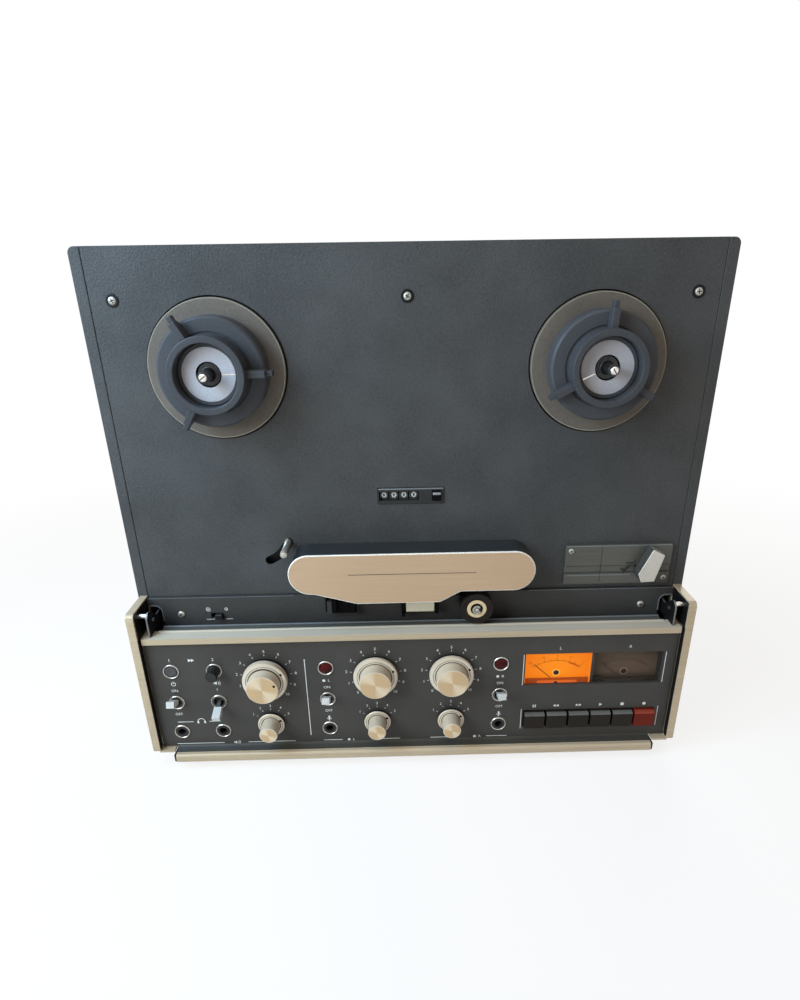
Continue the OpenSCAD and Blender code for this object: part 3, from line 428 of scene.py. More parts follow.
# %% Turntables
REEL_X, REEL_UP = 137.5, 334.0
olive = grained("turntable_lacquer", tint(88, 81, 74), tint(102, 94, 86), 0.5, 800.0, 0.0002, gloss=0.22)
rim_highlight_beige = grained("turntable_rim_highlight", tint(124, 119, 104), tint(142, 137, 121), 0.4, 900.0, 0.00002, gloss=0.3)
spindle_black = grained("spindle_plastic", tint(18, 19, 21), tint(28, 29, 32), 0.35, 900.0, 0.00003,
                        gloss=0.4)
bright_steel = grained("bright_steel", tint(205, 203, 198), tint(226, 224, 219), 0.25, 1200.0, 0.00001, 1.0)
drives = (("supply", -1, 0.0), ("takeup", 1, 88.0))
for reel, side, _ in drives:
    disc = bmesh.new()
    lathe(disc, [(0, -75), (4, -75), (4, -7.2), (36, -7.2), (36, -1.2), (49.2, -1.2), (49.2, 2.5),
                 (40.5, 2.5), (40.0, 2.2), (0, 2.2)], side * REEL_X, REEL_UP, 128)
    round_rims(disc, 0.45)
    settle(disc, reel + "_disc", reel + "_drive", olive, [reel + "_turntable"])
    # A pale ring on the outer edge of each turntable is a painted highlight along its rim.
    rim = bmesh.new()
    lathe(rim, [(48.3, 2.2), (48.9, 2.2), (48.9, 2.56), (48.3, 2.56)], side * REEL_X, REEL_UP, 128, ring=True)
    settle(rim, reel + "_disc_rim_highlight", reel + "_drive", rim_highlight_beige)

# %% Blocks at an angle


def block(bm, x0, x1, up0, up1, out0, out1):
    middle = Matrix.Translation(((x0 + x1) / 2, (up0 + up1) / 2, (out0 + out1) / 2))
    size = Matrix.Diagonal((x1 - x0, up1 - up0, out1 - out0, 1))
    return bmesh.ops.create_cube(bm, size=1.0, matrix=middle @ size)["verts"]


def turned_block(bm, x, up, angle, r0, r1, width, out0, out1):
    made = block(bm, r0, r1, -width / 2, width / 2, out0, out1)
    turn = Matrix.Translation((x, up, 0)) @ Matrix.Rotation(math.radians(angle), 4, "Z")
    bmesh.ops.transform(bm, matrix=turn, verts=made)


print("blocks can be set at an angle")

# %% Spindles
slot_black = grained("slot_black", tint(7, 7, 8), tint(12, 12, 13), 0.7, 800.0, 0.00002)
for reel, side, turn in drives:
    post = bmesh.new()
    lathe(post, [(0, 2.0), (8.0, 2.0), (8.0, 22.6), (5.0, 22.6), (4.2, 23.4), (4.0, 24.4), (4.0, 38),
                 (0, 38)], side * REEL_X, REEL_UP, 48)
    round_rims(post, 0.5)
    settle(post, reel + "_spindle", reel + "_drive", spindle_black)
    tip = bmesh.new()
    lathe(tip, [(0, 37), (2.7, 37), (2.7, 39.4), (2.1, 40), (0, 40)], side * REEL_X, REEL_UP, 32)
    settle(tip, reel + "_spindle_screw", reel + "_drive", bright_steel)
    # These dark blocks are painted shade, standing for the depth of the spindle slots and the screw slot.
    cuts = bmesh.new()
    for third in range(3):
        turned_block(cuts, side * REEL_X, REEL_UP, turn + 120 * third, 4.4, 7.7, 1.7, 21.6, 22.68)
    turned_block(cuts, side * REEL_X, REEL_UP, turn + 35, -2.2, 2.2, 0.7, 39, 40.02)
    settle(cuts, reel + "_spindle_slots", reel + "_drive", slot_black)

# %% [markdown]
# ## Hub adapters and their locks
# The adapters fit wide reel hubs. Each has a stepped black body, a pale lilac disc round the spindle
# hole, and a tall lock ring with three fins that grip the hub when the ring is turned.
# Body, disc and ring are spun, and the fins are blocks with a lower, narrower toe.

# %% Adapters
adapter_black = grained("adapter_plastic", tint(62, 63, 66), tint(73, 74, 78), 0.4, 900.0, 0.00004,
                        gloss=0.12)
lilac = grained("lilac_disc", tint(162, 161, 168), tint(176, 175, 181), 0.5, 700.0, 0.00002, gloss=0.4)
for reel, side, _ in drives:
    hub = bmesh.new()
    lathe(hub, [(8.7, 2.5), (38, 2.5), (38, 16.4), (36.4, 18), (28.0, 18), (27.4, 17.4), (21.3, 17.4),
                (21.3, 23.6), (20.9, 24), (18.6, 24), (18.6, 23.4), (8.7, 23.4)],
          side * REEL_X, REEL_UP, 112, ring=True)
    round_rims(hub, 0.35)
    settle(hub, reel + "_hub", reel + "_drive", adapter_black, [reel + "_adapter"])
    face = bmesh.new()
    lathe(face, [(8.7, 23.2), (18.5, 23.2), (18.5, 24), (8.7, 24)], side * REEL_X, REEL_UP, 96, ring=True)
    round_rims(face, 0.25)
    settle(face, reel + "_hub_face", reel + "_drive", lilac)
    seam = bmesh.new()
    mark = 0.0 if side < 0 else 205.0
    turned_block(seam, side * REEL_X, REEL_UP, mark, 9.2, 18.2, 0.7, 23.9, 24.05)
    settle(seam, reel + "_hub_seam", reel + "_drive", bright_steel)

# %% Lock rings


def add_turned(bm, matrix, draw):
    part = bmesh.new()
    draw(part)
    part.transform(matrix)
    spare = bpy.data.meshes.new("spare")
    part.to_mesh(spare)
    part.free()
    bm.from_mesh(spare)
    bpy.data.meshes.remove(spare)


def draw_fin(bm, x, angle):
    turned_block(bm, x, REEL_UP, angle, 25.2, 39.2, 5.0, 18.4, 28.0)
    turned_block(bm, x, REEL_UP, angle, 38.0, 43.8, 3.6, 18.4, 25.0)
    round_rims(bm, 0.6)


lock_black = grained("lock_plastic", tint(58, 59, 62), tint(69, 70, 74), 0.36, 1000.0, 0.00004, gloss=0.12)
for reel, side, turn in drives:
    grip = bmesh.new()
    lathe(grip, [(21.6, 18.3), (26.5, 18.3), (26.5, 32.2), (26.0, 33), (22.1, 33), (21.6, 32.5)],
          side * REEL_X, REEL_UP, 96, ring=True)
    round_rims(grip, 0.4)
    for third in range(3):
        angle = turn + 120 * third
        add_turned(grip, Matrix.Identity(4), lambda bm: draw_fin(bm, side * REEL_X, angle))
    settle(grip, reel + "_lock_ring", reel + "_lock_body", lock_black, [reel + "_lock"])

# %% [markdown]
# ## Screws
# The deck, strip, splicer and back panel are held by cross-head screws with low round heads.
# One head is a spun dome, and its cross is two crossing bars of black shadow.
# All heads share one mesh, as screws from one box would.

# %% Screws
screw_steel = grained("screw_steel", tint(150, 147, 138), tint(178, 174, 164), 0.4, 1500.0, 0.00002, 0.5)
# This black is the cup washers' own colour and also painted shade, at the knob skirt feet and on the cheeks.
black_and_shade = grained("black_and_painted_shade", tint(10, 10, 11), tint(17, 17, 18), 0.5, 900.0, 0.00003, gloss=0.15)
deck_screws = [(x, 381.6, 0, 0.78) for x in (-203.7, 0, 203.7)]
front_screws = [*deck_screws, (-193.4, 135.8, 3, 0.8), (193.4, 135.8, 3, 0.8), (130.55, 186, 3, 0.66),
                (208.85, 160.8, 3, 0.66)]
rear_screws = [(x * 205.5, up, 150, 1.0) for x in (-1, 0, 1) for up in (30.5, 397.5)]
TO_REAR = Matrix.Rotation(math.pi, 4, "Y")
heads = bmesh.new()
crosses = bmesh.new()
for spots_of, flip in ((front_screws, Matrix.Identity(4)), (rear_screws, TO_REAR)):
    for number, (x, up, out, share) in enumerate(spots_of):
        at = flip @ Matrix.Translation((x, up, out)) @ Matrix.Diagonal((share, share, 1, 1))
        add_turned(heads, at, lambda bm: lathe(
            bm, [(0, -1), (3.6, -1), (3.6, 0.45), (3.1, 0.95), (2.2, 1.22), (1.2, 1.3), (0, 1.3)], 0, 0, 32))
        for arm in (20 + 37 * number, 110 + 37 * number):
            add_turned(crosses, at, lambda bm: turned_block(bm, 0, 0, arm, -2.2, 2.2, 0.9, 0.4, 1.33))
settle(heads, "screw_heads", "recorder", screw_steel, ["screws"])
settle(crosses, "screw_crosses", "recorder", slot_black)

# %% Cup washers of the deck screws
cups = bmesh.new()
for x, up, _, _ in deck_screws:
    lathe(cups, [(2.75, 0), (4.6, 0), (4.4, 0.45), (3.7, 0.7), (2.75, 0.4)], x, up, 40, ring=True)
settle(cups, "cup_washers", "recorder", black_and_shade)

# %% [markdown]
# ## Head cover
# A warm brushed plate closes the head block. Its outline is a bar with round ends and a tab below.
# The plate starts as a plain eight-cornered outline pushed to its thickness. Its end corners are
# bevelled with a radius of nearly half its height, and the front rim gets a fine chamfer, painted bright
# as a highlight.
# A dark shell carries it.

# %% Plates with round corners


def slab(bm, outline, low, high):
    face = bm.faces.new([bm.verts.new((x, up, low)) for x, up in outline])
    grown = bmesh.ops.extrude_face_region(bm, geom=[face])["geom"]
    lifted = [v for v in grown if isinstance(v, bmesh.types.BMVert)]
    bmesh.ops.translate(bm, verts=lifted, vec=(0, 0, high - low))


def round_corners(bm, places, radius, steps):
    upright = [e for e in bm.edges if (e.verts[0].co.xy - e.verts[1].co.xy).length < 1e-4
               and any((e.verts[0].co.xy - Vector(p)).length < 0.01 for p in places)]
    bevel(bm, upright, radius, steps)


print("plates can be cut and cornered")

# %% Head cover plate
COVER_UP = 180.5
COVER_LOW, COVER_TAB, COVER_TOP = COVER_UP - 16.9, COVER_UP - 26.1, COVER_UP + 16.9
cover_outline = [(-97, COVER_LOW), (-78, COVER_LOW), (-44, COVER_TAB), (22, COVER_TAB),
                 (38.5, COVER_LOW), (97, COVER_LOW), (97, COVER_TOP), (-97, COVER_TOP)]
warm_plate = grained("warm_brushed_plate", tint(180, 150, 120), tint(190, 160, 131), 0.38, 1.0, 0.000008,
                     0.15, stretch=(14, 1500, 1500), patch=8.0, gloss=0.3)
cover_rim_highlight = grained("cover_rim_highlight", tint(222, 216, 204), tint(240, 235, 225), 0.3, 900.0, 0.00001, 0.2)
plate = bmesh.new()
slab(plate, cover_outline, 24.6, 26.6)
round_corners(plate, [cover_outline[i] for i in (0, 5, 6, 7)], 16.85, 14)
round_corners(plate, [cover_outline[i] for i in (1, 2, 3, 4)], 2.2, 4)
round_rims(plate, 0.8, 3, 50)
# The chamfer faces of the front rim take the bright coat, a painted highlight.
plate.normal_update()
for face in plate.faces:
    if face.normal.z < 0.97 and face.calc_center_median().z > 25.6:
        face.material_index = 1
settle(plate, "cover_plate", "cover", [warm_plate, cover_rim_highlight], ["cover_front"])

# %% Head cover shell
shell_black = grained("shell_plastic", tint(38, 40, 42), tint(46, 48, 50), 0.4, 1000.0, 0.00005, gloss=0.3)
soften("head_cover", 0.8, "cover_shell", "cover", shell_black, 3)

# %% Plain rule on the cover
print_black = grained("black_print", tint(28, 26, 24), tint(40, 37, 34), 0.5, 600.0, 0.00001)


def stroke(bm, x0, up0, x1, up1, width, out):
    long = math.hypot(x1 - x0, up1 - up0)
    turn = Matrix.Rotation(math.atan2(up1 - up0, x1 - x0), 4, "Z")
    place = Matrix.Translation(((x0 + x1) / 2, (up0 + up1) / 2, out)) @ turn
    bmesh.ops.create_grid(bm, x_segments=1, y_segments=1, size=0.5,
                          matrix=place @ Matrix.Diagonal((long, width, 1, 1)))


rule = bmesh.new()
stroke(rule, -50, 180.2, 50.5, 180.2, 0.5, 26.63)
settle(rule, "cover_rule", "cover", print_black, closed=False)

# %% [markdown]
# ## Heads, roller and tension post
# Under the cover sit three heads with polished faces. The pinch roller is black rubber on a cream hub
# with a spring clip. A beige screen stands left of it between two black bars, and a black block
# further left guides the tape. The tension post is a steel pin with a round tip that rides in a
# curved slot. Round pieces are spun, bars are bevelled blocks, and the rest are softened copies.

# %% Heads, screen and arm
head_metal = grained("head_polish", tint(176, 170, 156), tint(196, 190, 178), 0.3, 900.0, 0.00001, 0.9)
screen_beige = grained("screen_beige", tint(206, 197, 172), tint(222, 214, 192), 0.5, 700.0, 0.00004)
arm_black = grained("arm_black", tint(16, 16, 17), tint(24, 24, 25), 0.42, 900.0, 0.00004, gloss=0.3)
soften("tape_heads", 0.5, "head_faces", "recorder", head_metal)
soften("head_shield", 0.7, "beige_screen", "head_shield_body", screen_beige, 3)
soften("pinch_arm", 0.4, "roller_arm", "pinch_arm_body", arm_black)
coat_solid("capstan", bright_steel)

# %% Bars beside the screen and the tape guide block
bar_black = grained("bar_black", tint(4, 4, 5), tint(9, 9, 10), 0.6, 900.0, 0.00002, gloss=0.06)
bars = bmesh.new()
for box in ((-8.8, -5.7, 135.2, 157, 3.0, 10.4), (19.0, 22.0, 135.2, 157, 3.0, 10.4),
            (-8.8, -5.7, 134.2, 137.4, 3.0, 13.0), (-67.0, -45.6, 136.0, 147.2, 3.0, 8.0),
            (-72.2, -70.2, 136.4, 152.0, 3.0, 6.0), (-66.0, -62.4, 139.0, 150.0, 3.0, 11.0),
            (-50.6, -47.0, 139.0, 150.0, 3.0, 11.0)):
    block(bars, *box)
round_rims(bars, 0.4)
settle(bars, "screen_bars", "recorder", bar_black)

# %% Pinch roller
ROLLER_X, ROLLER_UP = 52.3, 144.6
rubber = grained("roller_rubber", tint(24, 19, 16), tint(31, 25, 21), 0.6, 1300.0, 0.00006, gloss=0.15)
cream = grained("roller_cream", tint(204, 178, 138), tint(220, 196, 156), 0.42, 800.0, 0.00002)
clip_silver = grained("clip_silver", tint(168, 158, 148), tint(190, 180, 170), 0.4, 900.0, 0.00001, 0.2)
roller = bmesh.new()
lathe(roller, [(2.05, 9.4), (13.5, 9.4), (13.5, 21.4), (8.4, 21.4), (8.0, 20.9), (2.05, 20.9)],
      ROLLER_X, ROLLER_UP, 96, ring=True)
round_rims(roller, 0.7)
settle(roller, "rubber_roller", "pinch_roller_body", rubber, ["pinch_roller"])
hub = bmesh.new()
lathe(hub, [(5.0, 20.6), (7.9, 20.6), (7.9, 21.5), (5.0, 21.5)], ROLLER_X, ROLLER_UP, 64, ring=True)
round_rims(hub, 0.3)
settle(hub, "roller_hub", "pinch_roller_body", cream)
clip = bmesh.new()
lathe(clip, [(0, 22.6), (1.6, 22.6), (1.6, 23.4), (1.2, 23.7), (0, 23.7)], ROLLER_X, ROLLER_UP, 32)
for bit in range(10):
    turned_block(clip, ROLLER_X, ROLLER_UP, 60 + 28 * bit, 2.1, 3.6, 1.7, 22.62, 23.1)
settle(clip, "roller_clip", "pinch_arm_body", clip_silver)

# %% Tension post
TENSION_X, TENSION_UP, TENSION_REACH = -125.8, 209.3, 29.2
TENSION_REST = math.radians(-23)
post_x = TENSION_X + TENSION_REACH * math.cos(TENSION_REST)
post_up = TENSION_UP + TENSION_REACH * math.sin(TENSION_REST)
soften("tension_arm", 0.5, "tension_lever", "tension_arm_body", screw_steel, 3)
pin = bmesh.new()
lathe(pin, [(0, 21.6), (2.62, 21.6), (2.75, 22.0), (2.75, 23.8), (2.4, 24.7), (1.5, 25.2), (0, 25.4)],
      post_x, post_up, 40)
settle(pin, "tension_pin_tip", "tension_arm_body", clip_silver)

# %% [markdown]
# ## Tape counter
# Four wheels show their digits through a black bezel, and a small button beside them sets all to zero.
# Each wheel carries all ten digits, because it turns. The digits are font curves made into meshes,
# then bent round the wheel by moving each point to its angle on the rim.

# %% Counter bezel and button


def bar(box, rim, name, body, finish, steps=3, board=BOARD):
    bm = bmesh.new()
    block(bm, *box)
    round_rims(bm, rim, steps)
    settle(bm, name, body, finish, board=board)


bezel_black = grained("bezel_plastic", tint(36, 37, 37), tint(45, 46, 46), 0.4, 900.0, 0.00003, gloss=0.2)
button_black = grained("button_plastic", tint(22, 22, 22), tint(31, 31, 31), 0.35, 900.0, 0.00003, gloss=0.35)
soften("counter_frame", 0.3, "counter_bezel", "recorder", bezel_black)
soften("reset_button", 0.7, "counter_reset", "reset_button_body", bar_black, 3)
# This pale grey is a painted highlight on lit edges: the bezel top, splicer block, pocket rims and rear bead
# of the shelf.
edge_highlight_grey = grained("edge_highlight_grey", tint(104, 107, 109), tint(122, 125, 127), 0.4, 900.0, 0.00001, 0.2,
                    gloss=0.3)
bar((-25.0, 25.8, 240.7, 241.9, 0.2, 0.85), 0.25, "counter_top_highlight", "recorder", edge_highlight_grey, 2)
button_pale = grained("button_pale", tint(132, 131, 132), tint(148, 147, 148), 0.4, 900.0, 0.00001, gloss=0.3)
bar((17.5, 23.7, 236.6, 238.6, 2.5, 2.85), 0.15, "counter_reset_mark", "reset_button_body", button_pale,
    2)

# %% Letters as meshes


def letters_mesh(words, tall, bold=0.0):
    curve = bpy.data.curves.new("letters", "FONT")
    curve.body = words
    curve.offset = bold
    curve.size = tall * 1.43
    curve.align_x = "CENTER"
    curve.align_y = "CENTER"
    curve.resolution_u = 3
    holder = bpy.data.objects.new("letters", curve)
    scene.collection.objects.link(holder)
    mesh = bpy.data.meshes.new_from_object(holder)
    bpy.data.objects.remove(holder)
    bpy.data.curves.remove(curve)
    return mesh


print("letters can be made")

# %% Digits on the wheels
WHEEL_R, WHEEL_UP, WHEEL_OUT = 8.6, 235.5, -10.4
wheel_black = grained("wheel_black", tint(50, 52, 51), tint(60, 62, 61), 0.5, 900.0, 0.00002, gloss=0.2)
digit_white = grained("digit_white", tint(172, 173, 170), tint(190, 191, 188), 0.5, 900.0, 0.00001)
for carrier, places in (("units_wheel", [3]), ("upper_wheels", [0, 1, 2])):
    drums = bmesh.new()
    figures = bmesh.new()
    for place in places:
        middle = -20.7 + 7.8 * place
        turn = Matrix.Translation((middle, WHEEL_UP, WHEEL_OUT)) @ Matrix.Rotation(math.pi / 2, 4, "Y")
        add_turned(drums, turn, lambda bm: lathe(
            bm, [(1.45, -3.5), (8.2, -3.5), (WHEEL_R, -3.1), (WHEEL_R, 3.1), (8.2, 3.5), (1.45, 3.5)],
            0, 0, 60, ring=True))
        for figure in range(10):
            shape = letters_mesh(str(figure), 4.2, bold=0.16)
            for point in shape.vertices:
                angle = point.co.y / WHEEL_R - figure * FULL_TURN / 10
                lift = WHEEL_R + 0.03
                point.co = (point.co.x * 1.3 + middle, WHEEL_UP + lift * math.sin(angle),
                            WHEEL_OUT + lift * math.cos(angle))
            figures.from_mesh(shape)
            bpy.data.meshes.remove(shape)
    settle(drums, carrier + "_drums", carrier + "_body", wheel_black, [carrier])
    settle(figures, carrier + "_figures", carrier + "_body", digit_white, closed=False)

# %% [markdown]
# ## Splicer
# The grey block at the right holds the tape while it is cut and joined. A groove runs across it,
# and fine engraved lines guide the blade. Its lever is a bright casting on a pivot.
# The block is a softened copy, and the lever is a five-cornered slab with its left side in shade.
# The engraving is a set of thin dark strokes just above the plate.

# %% Splicer
splicer_grey = grained("splicer_grey", tint(74, 73, 67), tint(84, 83, 77), 0.4, 1.0, 0.00002, 0.3,
                       stretch=(30, 1100, 1100), patch=20.0, gloss=0.4)
lever_cast = grained("lever_cast", tint(176, 171, 162), tint(196, 191, 182), 0.4, 900.0, 0.00003, 0.5)
soften("splicer_block", 0.3, "splicing_block", "recorder", splicer_grey)
lever = bmesh.new()
slab(lever, [(193.4, 190.6), (203.3, 185.3), (197.5, 162.1), (186.6, 161.5), (183.5, 168.5)], 3.5, 14.0)
round_rims(lever, 0.6)
lever.normal_update()
for face in lever.faces:
    if face.normal.x < -0.3 and face.normal.z < 0.5:
        face.material_index = 1
lever_shade = grained("lever_shade", tint(62, 60, 57), tint(76, 74, 71), 0.5, 900.0, 0.00003, 0.2, gloss=0.3)
settle(lever, "splicing_lever", "splicer_lever_body", [lever_cast, lever_shade],
       ["splicer_lever"])
scribe = bmesh.new()
for line in ((155.8, 157.5, 155.8, 189.5, 0.5, 3.03), (127.5, 172.4, 212, 172.4, 0.35, 3.03),
             (127.5, 165.8, 212, 165.8, 0.35, 3.03), (174.5, 165.0, 180.8, 173.2, 1.4, 3.04),
             (176.5, 174.4, 183.0, 174.4, 1.3, 3.03), (172.5, 168.5, 177.0, 168.5, 1.1, 3.03),
             (184.0, 170.5, 184.0, 177.5, 0.8, 3.03)):
    stroke(scribe, *line)
settle(scribe, "splicer_lines", "recorder", slot_black, closed=False)
# These thin pale strips on the block's edges are painted highlights.
gleam = bmesh.new()
block(gleam, 126.8, 212.6, 189.6, 190.4, 2.6, 3.1)
block(gleam, 128.0, 181.0, 163.4, 164.1, 2.9, 3.06)
round_rims(gleam, 0.07, 1)
settle(gleam, "splicer_gleam", "recorder", edge_highlight_grey)

# %% [markdown]
# ## Strip, hinge pockets and reel size switch
# Below the deck runs a dark strip with arched pockets for the hood hinges and a small slider that
# sets the reel size. Two plain reel circles, large and small, mark the ends of its way.
# Thin paler lines along the joint with the deck and the edges of the pockets are painted highlights.

# %% Strip and slider
strip_black = grained("strip_lacquer", tint(53, 52, 51), tint(63, 62, 61), 0.46, 800.0, 0.00014, gloss=0.2)
hinge_steel = grained("hinge_steel", tint(96, 96, 94), tint(116, 116, 113), 0.4, 800.0, 0.00001, 0.3)
soften("head_trim", 0.5, "deck_strip", "recorder", strip_black)
hinges = soft_copy("hinge_hardware", 0.3)
hinges.normal_update()
for face in hinges.faces:
    if abs(face.normal.x) > 0.9:
        face.material_index = 1
settle(hinges, "hinge_plates", "recorder", [hinge_steel, black_and_shade], ["hinge_hardware"], board=None)
soften("reel_size_slider", 0.5, "size_slider", "reel_size_slider_body", button_black, 3)

# %% Hinge pins, rivets and painted shade on the cheeks
TO_SIDE = Matrix.Rotation(math.pi / 2, 4, "Y")
pins = bmesh.new()
shade_sheet = bmesh.new()
for side in (-1, 1):
    at = Matrix.Translation((side * 216.0, 146.2, 23.5)) @ TO_SIDE
    add_turned(pins, at, lambda bm: lathe(bm, [(0, -3.7), (2.05, -3.7), (2.05, 3.7), (0, 3.7)], 0, 0, 32))
    add_turned(pins, Matrix.Translation((side * 211.4, 139.5, 17.0)) @ TO_SIDE, lambda bm: lathe(
        bm, [(0, -0.3), (1.7, -0.3), (1.7, 0.2), (1.2, 0.5), (0, 0.5)], 0, 0, 24))
    # Black sheets on the inner faces of the cheeks are painted shade in the gaps beside the strip and panel.
    inner, outer = sorted((side * 219.7, side * 219.95))
    block(shade_sheet, inner, outer, 129.0, 151.2, 3.2, 32.2)
    block(shade_sheet, inner, outer, 20.0, 129.0, 28.2, 33.4)
settle(pins, "hinge_pins", "recorder", bright_steel)
settle(shade_sheet, "cheek_shade_sheets", "recorder", black_and_shade)

# %% Print on the strip
STRIP_PRINT = 3.04
print_white = grained("white_print", tint(206, 205, 200), tint(224, 223, 219), 0.5, 900.0, 0.000005)


def hoop(bm, x, up, r0, r1, start, sweep, out, steps=32):
    ends = [bm.verts.new((x + r * math.cos(start), up + r * math.sin(start), out)) for r in (r0, r1)]
    edge = bm.edges.new(ends)
    bmesh.ops.spin(bm, geom=ends + [edge], cent=(x, up, out), axis=(0, 0, 1), angle=sweep, steps=steps,
                   use_merge=abs(sweep) > 6.28, use_duplicate=False)


marks = bmesh.new()
for x, r0, r1 in ((-170.6, 1.5, 1.9), (-170.6, 0.35, 0.75), (-155.6, 1.0, 1.4), (-155.6, 0.2, 0.5)):
    hoop(marks, x, 139.8, r0, r1, 0, FULL_TURN, STRIP_PRINT)
for x in (-173, -157.5):
    stroke(marks, x, 130.4, x + 6.5, 130.4, 0.5, STRIP_PRINT)
settle(marks, "strip_marks", "recorder", print_white, closed=False)

# %% Painted highlights on the joint of strip and deck and on the edges of the hinge pockets
joint_highlight_grey = grained("joint_highlight_grey", tint(92, 96, 100), tint(112, 116, 120), 0.4, 900.0, 0.00001, 0.2,
                     gloss=0.3)
# Pale strokes along the joint are a painted highlight on the deck's lower edge.
joint = bmesh.new()
for side in (-1, 1):
    stroke(joint, side * 98, 151.0, side * 219.2, 151.0, 0.5, 3.05)
settle(joint, "strip_joint_highlight", "recorder", joint_highlight_grey, closed=False)
# Pale arches round the pockets are painted highlights on their edges.
edges = bmesh.new()
bend = [math.radians(180 - 15 * step) for step in range(7)]
for side in (-1, 1):
    inside, outside = [[(214.2 + r * math.cos(a), 138.8 + r * math.sin(a)) for a in bend] for r in (5.0, 6.0)]
    path = [(209.2, 129.6), *inside, (219.2, 143.8), (219.2, 144.8), *reversed(outside), (208.2, 129.6)]
    slab(edges, [(side * x, up) for x, up in path], 2.9, 3.3)
round_rims(edges, 0.12, 2)
settle(edges, "pocket_edge_highlights", "recorder", edge_highlight_grey)

# %% [markdown]
# ## The aluminium frame of the control box
# Two cheeks, a top rail with a shelf and a bottom rail with a round nose are brushed aluminium.
# Brush marks run along the rails, so the noise is stretched far along x.
# A dark cove strip lies above the nose as painted shade and reflection of the dark panel, and black caps
# close its ends. The shelf's top is painted paler, lit from above, and has a bead; behind it lies a ledge
# painted darker as shade, with a pale rear bead as a painted highlight.

# %% Frame and nose caps


def brushed(name, dark, light, rough, gloss):
    return grained(name, dark, light, rough, 1.0, 0.00001, 0.1, (10, 1300, 1300), 6.0, gloss=gloss)


SHELF_LOW, SHELF_HIGH = 0.127, 0.131
aluminium = brushed("brushed_aluminium", tint(171, 152, 125), tint(190, 170, 144), 0.36, 0.25)
# The shelf's paler coat is painted light, falling from above onto its top.
shelf_lit_satin = brushed("shelf_lit_satin", tint(184, 172, 154), tint(203, 191, 173), 0.5, 0.3)
rails = soft_copy("panel_frame", 0.6)
rails.normal_update()
for face in rails.faces:
    if face.normal.z > 0.9 and SHELF_LOW < face.calc_center_median().z < SHELF_HIGH:
        face.material_index = 1
settle(rails, "aluminium_frame", "recorder", [aluminium, shelf_lit_satin], ["panel_frame"],
       board=None)
caps = bmesh.new()
for x0, x1 in ((-208.2, -206.0), (206.0, 208.2)):
    block(caps, x0, x1, 8.8, 16.4, 20, 37.0)
round_rims(caps, 1.4, 4)
settle(caps, "nose_caps", "recorder", black_and_shade)

# %% Cove above the nose, beads and ledge of the shelf
# The cove strip is painted shade and reflection of the dark panel, lying above the nose.
cove_shade_grey = brushed("cove_shade_grey", tint(44, 42, 38), tint(54, 52, 47), 0.45, 0.3)
cove = bmesh.new()
foot = [(28.05, 18.4), (28.05, 20.0), (28.6, 19.2), (29.6, 18.75), (31.0, 18.0), (33.8, 17.0), (33.8, 16.6)]
ends = [[cove.verts.new((x, up, out)) for out, up in foot] for x in (-205.8, 205.8)]
for here in range(len(foot)):
    there = (here + 1) % len(foot)
    cove.faces.new((ends[0][here], ends[0][there], ends[1][there], ends[1][here]))
for end in ends:
    cove.faces.new(end)
settle(cove, "cove_shade_strip", "recorder", cove_shade_grey)
bar((-208, 208, 128.5, 129.5, 18.1, 20.3), 0.4, "shelf_bead", "recorder", shelf_lit_satin)
# The rear bead's pale grey is a painted highlight, and the ledge is painted darker as shade.
bar((-207, 207, 128.0, 129.0, 9.4, 11.0), 0.3, "shelf_rear_bead", "recorder", edge_highlight_grey)
ledge_shade_grey = brushed("ledge_shade_grey", tint(74, 73, 68), tint(90, 89, 83), 0.45, 0.3)
bar((-207, 207, 127.6, 128.3, 8.6, 18.3), 0.2, "shelf_ledge", "recorder", ledge_shade_grey, 1)

# %% [markdown]
# ## Control panel and its print
# The panel is sheet metal in a warm dark lacquer, silk-screened in white. Only plain numbers,
# ON and OFF, L and R, ticks, lines and symbols are printed. Each line is a thin grid lying a hair
# above the paint, each number a font curve made into a mesh, and both join into one print layer.

# %% Panel
panel_lacquer = grained("panel_lacquer", tint(58, 55, 52), tint(68, 65, 61), 0.45, 900.0, 0.0001, gloss=0.2)
soften("control_panel", 0.25, "panel_face", "recorder", panel_lacquer)

# %% Dial numbers and ticks
PRINT = 28.04
MONITOR_X, LEFT_X, RIGHT_X = -122.5, -31.5, 31.5
KNOB_UP, SELECTOR_UP = 89, 42


def write(bm, words, tall, x, up, out):
    shape = letters_mesh(words, tall)
    shape.transform(Matrix.Translation((x, up, out)))
    bm.from_mesh(shape)
    bpy.data.meshes.remove(shape)


ink = bmesh.new()
for x in (MONITOR_X, LEFT_X, RIGHT_X):
    for number in range(11):
        angle = math.radians(90 - (number - 5) * 28)
        write(ink, str(number), 2.5, x + 24.6 * math.cos(angle), KNOB_UP + 24.2 * math.sin(angle), PRINT)
        stroke(ink, x + 20 * math.cos(angle), KNOB_UP + 20 * math.sin(angle),
               x + 21.6 * math.cos(angle), KNOB_UP + 21.6 * math.sin(angle), 0.45, PRINT)
for x in (MONITOR_X, LEFT_X, RIGHT_X):
    for number in range(5):
        angle = math.radians(90 - (number - 2) * 30)
        write(ink, str(number + 1), 2.3, x + 17.2 * math.cos(angle), SELECTOR_UP + 17 * math.sin(angle),
              PRINT)
        stroke(ink, x + 12.8 * math.cos(angle), SELECTOR_UP + 12.8 * math.sin(angle),
               x + 14.2 * math.cos(angle), SELECTOR_UP + 14.2 * math.sin(angle), 0.4, PRINT)
print(len(ink.faces), "faces of dial numbers and ticks")

